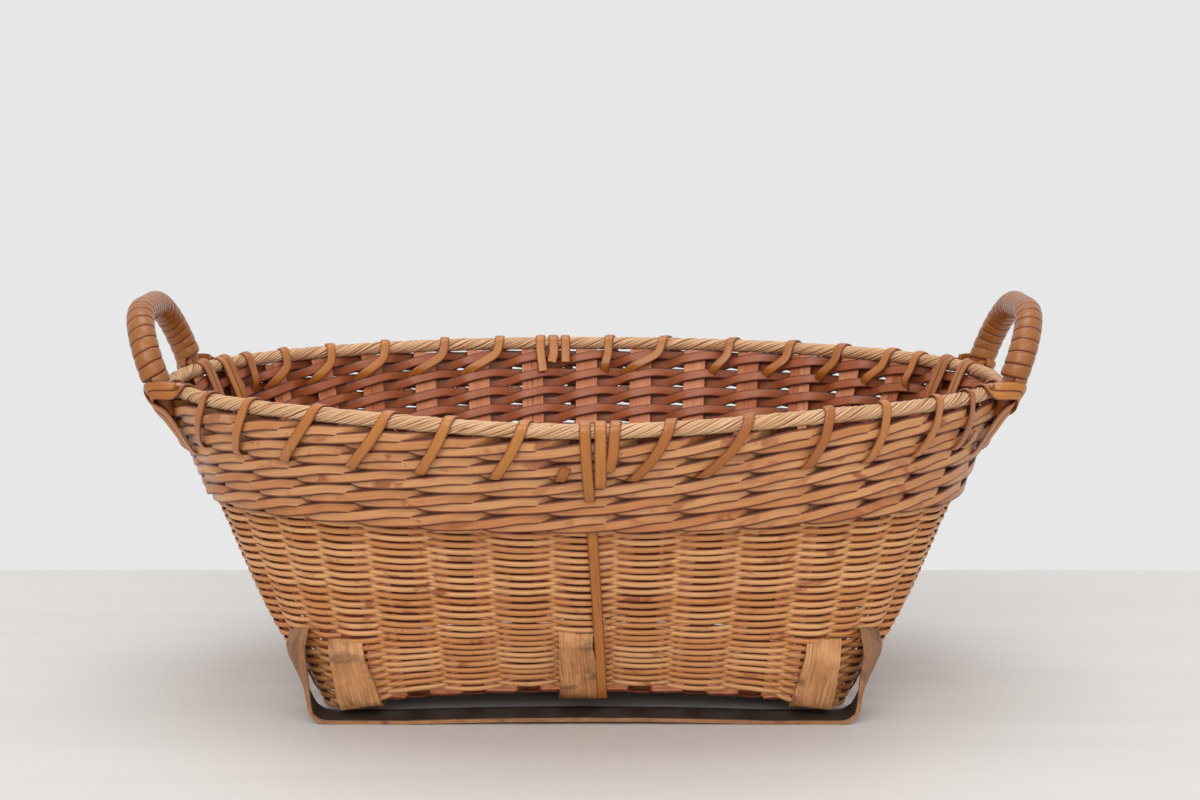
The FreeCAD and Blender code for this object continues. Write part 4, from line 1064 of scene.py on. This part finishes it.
class BASKET_OT_ties(bpy.types.Operator):
    """Model the ties at the middle of each long side"""

    bl_idname = "basket.ties"
    bl_label = "Middle ties"

    def execute(self, context):
        rng = np.random.default_rng(SEEDS["ties"])
        wall = sizes("wall")
        rise = wall.rim_height - wall.base_height
        amber = cane_finish("amber_cane")
        for side, middle, foot in TIE_SIDES:
            top = middle + LONG_TIE_SHIFT
            down = [(drop / rise, drop, outward, 0.0) for drop, outward in LONG_TIE_OUTSIDE]
            knots = wall_knots(top, LONG_TIE_INSIDE) + hoop_knots(top, HOOP[::-1])
            strand = lay_cane(knots + wall_knots(top, down, foot - top), LONG_TIE_SAMPLES, rng)
            finish_piece(f"tie_cane_{side}_long", [strand], amber, [f"{side}_tie_long"])
            strands = []
            for aside, slant, width, samples, outside, inside in DOUBLE_TIE:
                station = middle + aside
                knots = wall_knots(station, outside) + hoop_knots(station, slant=slant)
                strands.append(lay_cane(knots + wall_knots(station, inside), samples, rng, width))
            finish_piece(f"tie_cane_{side}_double", strands, amber, [f"{side}_tie_double"])
        return {"FINISHED"}


# ---------------------------------------------------------------- handles

# Stations of a handle's feet from the middle of its end; shares by which a leg's end is thinner and narrower
FOOT_STATION, SCARF_THINNER, SCARF_NARROWER = 1.5, 0.6, 0.12
# Winding: points in a turn, run over which its turns start to spread in a bend, share of the pitch it fills
TURN_POINTS, BEND_START, TURN_FILL = 18, 0.004, 0.985
# Binding: up the wall, as a lashing's path; over the foot, by (aside, up the leg, share of the way out, lean of
# the face); over the rope; and down inside. Its two canes lie so many widths apart
BINDING_BELOW = ((-0.30, 0.0290, 0.0030, -75.0), (-0.29, 0.0276, 0.0068, -35.0), (-0.26, 0.0235, 0.0086, 0.0))
BINDING_OVER = ((-0.0060, -0.0130, 0.10, -0.6), (-0.0010, -0.0050, 0.86, 0.0), (0.0062, 0.0020, 0.66, 0.8))
BINDING_HOOP = (50.0, 90.0, 130.0, 168.0)
BINDING_INSIDE = (
    (0.0, 0.0075, -0.0049, 180.0), (0.02, 0.0180, -0.0049, 180.0), (0.04, 0.0275, -0.0035, 210.0))
CORE_SAMPLES, BINDING_SAMPLES, BINDING_PITCH = 81, 81, 1.02


class HandleArch:
    """Line of the right handle's core, in a plane that leans outward."""

    def __init__(self):
        handle, wall = sizes("handle"), sizes("wall")
        foot = outline(np.array([QUARTER - FOOT_STATION]), rim_quarter)[0]
        self.half_span = -foot[1]
        self.rise, self.bend = handle.rise, handle.bend
        self.up = np.array([math.sin(handle.lean), 0.0, math.cos(handle.lean)])
        self.out = np.array([math.cos(handle.lean), 0.0, -math.sin(handle.lean)])
        self.middle = np.array([foot[0] + handle.standoff, 0.0, wall.rim_height])

    def at(self, across, up):
        return self.middle + np.array([0.0, across, 0.0]) + self.up * up

    def leg(self, start):
        """Length of a leg from its start to the bend."""
        return self.rise - self.bend - start

    def run(self, start):
        return 2 * self.leg(start) + math.pi * self.bend + 2 * (self.half_span - self.bend)

    def arch(self, travel, start):
        """Centre and direction after a length of travel from the front leg."""
        if travel > self.run(start) / 2:
            centre, way = self.arch(self.run(start) - travel, start)
            return centre * (1, -1, 1), way * (-1, 1, -1)
        leg, arc = self.leg(start), math.pi / 2 * self.bend
        if travel <= leg:
            return self.at(-self.half_span, start + travel), self.up
        if travel <= leg + arc:
            turn = (travel - leg) / self.bend
            across = -self.half_span + self.bend * (1 - math.cos(turn))
            centre = self.at(across, self.rise - self.bend + self.bend * math.sin(turn))
            return centre, self.up * math.cos(turn) + np.array([0.0, math.sin(turn), 0.0])
        across = travel - leg - arc - (self.half_span - self.bend)
        return self.at(across, self.rise), np.array([0.0, 1.0, 0.0])


class BASKET_OT_handles(bpy.types.Operator):
    """Model the handles: bent cores, their windings, and the crossed bindings at their feet"""

    bl_idname = "basket.handles"
    bl_label = "Handles"

    def execute(self, context):
        rng = np.random.default_rng(SEEDS["handles"])
        arch = HandleArch()
        grip, amber = cane_finish("grip_cane"), cane_finish("amber_cane")
        for side, half_turn in (("right", (1.0, 1.0, 1.0)), ("left", (-1.0, -1.0, 1.0))):
            strand = self.core(arch, half_turn, rng)
            finish_piece("grip_core_" + side, [strand], grip, ["handle_core_" + side], smooth=60.0)
            strand = self.winding(arch, half_turn, rng)
            finish_piece("grip_winding_" + side, [strand], grip, ["handle_wrap_" + side],
                         smooth=60.0)
            for foot in (-1, 1):
                place = f"{side}_front" if foot * half_turn[1] < 0 else f"{side}_back"
                strands = self.binding(arch, foot, half_turn, rng)
                finish_piece("grip_binding_" + place, strands, amber, ["handle_binding_" + place])
        return {"FINISHED"}

    def core(self, arch, half_turn, rng):
        handle = sizes("handle")
        run = arch.run(-handle.tail)
        travels = np.linspace(0.0, run, CORE_SAMPLES)
        line = np.array([arch.arch(travel, -handle.tail)[0] for travel in travels])
        scarf = 1.0 - share_between(np.minimum(travels, run - travels), 0.0, handle.scarf)
        line = line - arch.out * (scarf * handle.scarf_inset)[:, None]
        deep = handle.core_diameter * (1.0 - SCARF_THINNER * scarf)
        wide = handle.core_diameter * (1.0 - SCARF_NARROWER * scarf)
        face = np.tile(arch.out, (CORE_SAMPLES, 1))
        return lay("round", (CORE_SAMPLES - 2,), line * half_turn, face * half_turn, wide, deep, rng)

    def winding(self, arch, half_turn, rng):
        handle = sizes("handle")
        start = handle.wrap_start
        cuts = (handle.wrap_turns - 1, TURN_POINTS - 1)
        run, leg = arch.run(start), arch.leg(start)
        pitch = run / (handle.wrap_turns + 1)
        radius = handle.core_diameter / 2 + CLEARANCE + handle.wrap_thickness / 2
        shares = np.linspace(0.0, 1.0, sections(cuts))
        travels = pitch / 2 + (run - pitch) * shares
        turns = 2 * math.pi * handle.wrap_turns * shares
        centres, ways = (np.array(part) for part in zip(*(arch.arch(travel, start) for travel in travels)))
        outward = np.cos(turns)
        spokes = np.cross(arch.out, ways) * outward[:, None] + arch.out * np.sin(turns)[:, None]
        legs = np.minimum(travels, run - travels)
        bent = share_between(legs, leg, leg + BEND_START)
        bent = bent * (1.0 - share_between(legs, leg + math.pi / 2 * arch.bend - BEND_START,
                                           leg + math.pi / 2 * arch.bend))
        wide = pitch * (1.0 + bent * outward * radius / arch.bend) * TURN_FILL
        return lay("domed", cuts, (centres + spokes * radius) * half_turn, spokes * half_turn, wide,
                   handle.wrap_thickness, rng)

    def binding(self, arch, foot, half_turn, rng):
        """Two pairs of canes that cross over a handle's foot, from the wall below to the rope beside it."""
        cane, handle = sizes("cane"), sizes("handle")
        width, core = handle.binding_width, handle.core_diameter / 2
        station = QUARTER + foot * FOOT_STATION
        ahead, behind = (wall_point(station + step, sizes("wall").rim_height) for step in (0.5, -0.5))
        beside = (core + width) / np.linalg.norm(ahead - behind)
        strands = []
        for sign, layer in ((1, 0), (-1, 1)):
            over = core + (0.5 + layer) * cane.lashing_thickness
            knots = wall_knots(station, BINDING_BELOW, sign)
            for aside, up, outward, lean in BINDING_OVER:
                point = arch.at(foot * arch.half_span + sign * aside, up) + arch.out * (over * outward)
                knots.append((*point, *unit(arch.out + np.array([0.0, sign * lean, 0.0]))))
            knots += hoop_knots(station + sign * beside, BINDING_HOOP)
            knots += wall_knots(station + sign * beside, BINDING_INSIDE, sign)
            line = through(knots, BINDING_SAMPLES)
            middle, face = line[:, :3], unit(line[:, 3:])
            across = unit(np.cross(face, np.gradient(middle, axis=0)))
            for pair in (-0.5, 0.5):
                shifted = middle + across * (pair * width * BINDING_PITCH)
                strands.append(lay("domed", (BINDING_SAMPLES - 2,), shifted * half_turn, face * half_turn,
                                   width, cane.lashing_thickness, rng))
        return strands


# ---------------------------------------------------------------- straps

STRAP_SAMPLES, FLOOR_KNOTS, BEND_KNOTS = 161, 9, 7
RISE_SHARES = (0.35, 0.7, 1.0)
# How far each cross strap stands aside of its packed place, at its foot and at its ends
CROSS_SHIFTS = {"left": (-0.0030, -0.0095), "centre": (0.0035, 0.0015), "right": (0.0050, 0.0100)}
# Heights between which a cross strap narrows and leans, and between which a long strap's ends twist
NARROWING, TWISTING = (0.010, 0.040), (0.004, 0.038)
# Knuckle of a long strap's bamboo: its place, the share and reach of its thickness, and those of its width
KNUCKLE, KNUCKLE_THICKER, KNUCKLE_WIDER = -0.001, (0.22, 0.0025), (0.0007, 0.003)
# A long strap's rise off the floor in its middle and half the length of it; unevenness of the straps' edges
ARCH_RISE, ARCH_REACH, EDGE_UNEVEN, EDGE_WINDOW = 0.0015, 0.09, 0.02, 9


def strap_run(level, bend, slope, reach, top):
    """Middle line of a strap, from end to end: up the wall, round a bend, along the floor, and back up."""
    corner = reach - (top - level) / math.tan(slope)
    flat = corner - bend * math.tan(slope / 2)
    half = [(share * flat, level) for share in np.linspace(0.0, 1.0, FLOOR_KNOTS)]
    half += [(flat + bend * math.sin(turn), level + bend * (1 - math.cos(turn)))
             for turn in np.linspace(0.0, slope, BEND_KNOTS)[1:]]
    start, end = np.array(half[-1]), np.array([reach, top])
    half = np.array(half + [start + (end - start) * share for share in RISE_SHARES])
    return np.vstack([half[:0:-1] * (-1, 1), half])


def knuckle(along, reach):
    """Share of the swelling at a knuckle of the bamboo."""
    return np.exp(-((along - KNUCKLE) / reach) ** 2)


def uneven(width, rng):
    """A width whose edges waver a little along the strap."""
    waver = rng.normal(size=STRAP_SAMPLES + EDGE_WINDOW - 1)
    waver = np.convolve(waver, np.ones(EDGE_WINDOW) / math.sqrt(EDGE_WINDOW), "valid")
    return width * (1.0 + EDGE_UNEVEN * waver)


class BASKET_OT_straps(bpy.types.Operator):
    """Model the bamboo straps under the base, bent up against the wall"""

    bl_idname = "basket.straps"
    bl_label = "Bamboo straps"

    def execute(self, context):
        rng = np.random.default_rng(SEEDS["straps"])
        for side, sign in (("front", -1), ("back", 1)):
            self.long_strap("long_strap_" + side, "bamboo_long_" + side, sign, rng)
        for place in CROSS_SHIFTS:
            self.cross_strap("cross_strap_" + place, "bamboo_cross_" + place, place, rng)
        return {"FINISHED"}

    def long_strap(self, node, name, sign, rng):
        strap = sizes("strap")
        slope, thickness = strap.long_slope, strap.long_thickness
        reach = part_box(node)[1].x - thickness / 2 * math.sin(slope)
        run = strap_run(thickness / 2, strap.long_bend, slope, reach, strap.long_top)
        line = through([(along, sign * strap.long_place, up) for along, up in run], STRAP_SAMPLES)
        axis = np.array([0.0, 1.0, 0.0])
        face = np.cross(axis, unit(np.gradient(line, axis=0)))
        along = line[:, 0]
        thick = thickness * (1.0 + KNUCKLE_THICKER[0] * knuckle(along, KNUCKLE_THICKER[1]))
        width = uneven(strap.long_width + KNUCKLE_WIDER[0] * knuckle(along, KNUCKLE_WIDER[1]), rng)
        line[:, 2] += ARCH_RISE * np.clip(1.0 - (along / ARCH_REACH) ** 2, 0.0, 1.0)
        line[:, 2] = np.maximum(line[:, 2], thick / 2)
        twist = share_between(line[:, 2:], *TWISTING) * strap.long_twist
        face = face * np.cos(twist) + axis * sign * np.sin(twist)
        line = line - np.sign(line[:, :1]) * np.sin(twist) * np.array([strap.long_width / 2, 0.0, 0.0])
        self.lay_strap(node, name, "long", line, face, width, thick, rng)

    def cross_strap(self, node, name, place, rng):
        strap, wall = sizes("strap"), sizes("wall")
        low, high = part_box(node)
        middle = place == "centre"
        top = strap.mid_top if middle else strap.side_top
        lean = strap.mid_lean if middle else strap.side_lean
        level = strap.long_thickness + CLEARANCE + strap.cross_thickness / 2
        slope = math.atan2(wall.rim_height - wall.base_height, lean)
        reach = high.y - strap.cross_thickness / 2 * math.sin(slope)
        run = strap_run(level, strap.cross_bend, slope, reach, top)
        line = through([((low.x + high.x) / 2, along, up) for along, up in run], STRAP_SAMPLES)
        face = np.cross(unit(np.gradient(line, axis=0)), np.array([1.0, 0.0, 0.0]))
        rising = share_between(line[:, 2], *NARROWING)
        line = bowed(line)
        foot_shift, tip_shift = CROSS_SHIFTS[place]
        line[:, 0] += foot_shift + (tip_shift - foot_shift) * rising
        width = uneven(strap.cross_width + (strap.cross_tip_width - strap.cross_width) * rising, rng)
        self.lay_strap(node, name, "cross", line, face, width, strap.cross_thickness, rng)

    def lay_strap(self, node, name, kind, line, face, width, thickness, rng):
        """Tuck a strap's ends into the weave, and lay it."""
        strap = sizes("strap")
        order = np.arange(STRAP_SAMPLES)
        from_end = np.minimum(order, order[::-1]) * steps_along(line).mean()
        tuck = strap.tuck * eased(1.0 - share_between(from_end, 0.0, strap.tuck_run))
        line = line - unit(face) * tuck[:, None]
        strand = lay("strap", (STRAP_SAMPLES - 2,), line, face, width, thickness, rng)
        finish_piece(name, [strand], bamboo_finish(kind), [node], smooth=40.0)


# ---------------------------------------------------------------- stage

TABLE_LENGTH, TABLE_DEPTH, TABLE_BACK, TABLE_CUTS = 6.0, 3.0, 0.268, 3
TABLE_ROUGHNESS, TABLE_PALER = 0.55, 1.05
WORLD_COLOUR, WORLD_STRENGTH = (1.0, 0.98, 0.96), 0.66
# Soft lamps: place, size, power and colour; they aim at the middle of the basket
LAMPS = {
    "key_light": ((-0.7, -2.3, 1.8), 1.8, 32.0, (1.0, 0.98, 0.95)),
    "fill_light": ((1.1, -2.2, 1.6), 2.2, 18.0, (1.0, 0.98, 0.96)),
    "top_light": ((0.0, 0.1, 1.9), 1.2, 12.0, (1.0, 0.99, 0.98)),
}
LAMP_AIM = Vector((0.0, 0.0, 0.08))
# Camera, as worked out from the photograph: its place, how far it looks down, its lens and its sensor
CAMERA_PLACE, CAMERA_PITCH, CAMERA_LENS, CAMERA_SENSOR = (0.0079, -1.212, 0.331), 8.44, 70.0, 36.0


class BASKET_OT_stage(bpy.types.Operator):
    """Set the pale table, the soft studio light and the camera"""

    bl_idname = "basket.stage"
    bl_label = "Stage"

    def execute(self, context):
        self.table()
        self.world(context.scene)
        for name, (place, size, power, tone) in LAMPS.items():
            lamp = bpy.data.lights.new(name, "AREA")
            lamp.size, lamp.energy, lamp.color = size, power, tone
            self.stand(name, lamp, place, (LAMP_AIM - Vector(place)).to_track_quat("-Z", "Y").to_euler())
        lens = bpy.data.cameras.new("camera")
        lens.sensor_width, lens.lens = CAMERA_SENSOR, CAMERA_LENS
        tilt = (math.radians(90.0 - CAMERA_PITCH), 0.0, 0.0)
        context.scene.camera = self.stand("camera", lens, CAMERA_PLACE, tilt)
        context.scene.view_settings.view_transform = "Standard"
        return {"FINISHED"}

    def stand(self, name, data, place, turn):
        item = bpy.data.objects.new(name, data)
        bpy.context.scene.collection.objects.link(item)
        item.location, item.rotation_euler = place, turn
        return item

    def table(self):
        tones = sizes("colours")
        bpy.ops.object.select_all(action="DESELECT")
        bpy.ops.mesh.primitive_plane_add(size=1.0)
        table = bpy.context.active_object
        table.name = "table"
        bpy.ops.object.mode_set(mode="EDIT")
        bpy.ops.transform.resize(value=(TABLE_LENGTH, TABLE_DEPTH, 1.0))
        bpy.ops.transform.translate(value=(0.0, TABLE_BACK - TABLE_DEPTH / 2, 0.0))
        bpy.ops.mesh.subdivide(number_cuts=TABLE_CUTS)
        bpy.ops.object.mode_set(mode="OBJECT")
        top = Finish("pale_table")
        grain, = top.noises(TABLE_NOISES)
        paler = [min(1.0, tone * TABLE_PALER) for tone in tones.floor]
        base = top.mix(top.ramp(grain, 0.3, 0.7), tones.floor, paler)
        table.data.materials.append(top.surface(base, TABLE_ROUGHNESS))

    def world(self, scene):
        """Even light all round, and a plain pale backdrop where it is seen, mirrored or looked through."""
        world = scene.world or bpy.data.worlds.new("studio")
        scene.world = world
        world.use_nodes = True
        nodes, links = world.node_tree.nodes, world.node_tree.links
        nodes.clear()
        backgrounds = []
        for tone, strength in ((WORLD_COLOUR, WORLD_STRENGTH), (sizes("colours").backdrop, 1.0)):
            background = nodes.new("ShaderNodeBackground")
            background.inputs["Color"].default_value = (*tone, 1.0)
            background.inputs["Strength"].default_value = strength
            backgrounds.append(background)
        ray = nodes.new("ShaderNodeLightPath")
        share = ray.outputs["Is Camera Ray"]
        for kind in ("Is Glossy Ray", "Is Transmission Ray"):
            either = nodes.new("ShaderNodeMath")
            either.operation = "MAXIMUM"
            links.new(share, either.inputs[0])
            links.new(ray.outputs[kind], either.inputs[1])
            share = either.outputs[0]
        mix = nodes.new("ShaderNodeMixShader")
        links.new(share, mix.inputs["Fac"])
        for socket, background in zip((1, 2), backgrounds):
            links.new(background.outputs[0], mix.inputs[socket])
        links.new(mix.outputs[0], nodes.new("ShaderNodeOutputWorld").inputs["Surface"])


class BASKET_PT_pieces(bpy.types.Panel):
    """Lists the basket's pieces and their sizes"""

    bl_idname = "BASKET_PT_pieces"
    bl_label = "Rattan Basket"
    bl_space_type = "VIEW_3D"
    bl_region_type = "UI"
    bl_category = "Basket"

    def draw(self, context):
        for piece in PIECES:
            self.layout.operator(piece.bl_idname)
        for group in GROUPS:
            box = self.layout.box()
            box.label(text=group.title())
            settings = sizes(group)
            for name in settings.bl_rna.properties.keys():
                if name not in ("rna_type", "name"):
                    box.prop(settings, name)


GROUPS = {
    "wall": BasketWall,
    "cane": BasketCane,
    "handle": BasketHandle,
    "strap": BasketStrap,
    "colours": BasketColours,
}
PIECES = (
    BASKET_OT_straps,
    BASKET_OT_stakes,
    BASKET_OT_base,
    BASKET_OT_weave,
    BASKET_OT_wale,
    BASKET_OT_rope,
    BASKET_OT_lashing,
    BASKET_OT_ties,
    BASKET_OT_handles,
    BASKET_OT_stage,
)


def register():
    for group in (*GROUPS.values(), *PIECES, BASKET_PT_pieces):
        bpy.utils.register_class(group)
    for name, group in GROUPS.items():
        setattr(bpy.types.Scene, "basket_" + name, bpy.props.PointerProperty(type=group))


def unregister():
    for name in GROUPS:
        delattr(bpy.types.Scene, "basket_" + name)
    for group in reversed((*GROUPS.values(), *PIECES, BASKET_PT_pieces)):
        bpy.utils.unregister_class(group)


def main():
    register()
    for piece in PIECES:
        family, name = piece.bl_idname.split(".")
        getattr(getattr(bpy.ops, family), name)()
    for mesh in straight_rods.values():
        bpy.data.meshes.remove(mesh)
    straight_rods.clear()


if __name__ == "__main__":
    main()
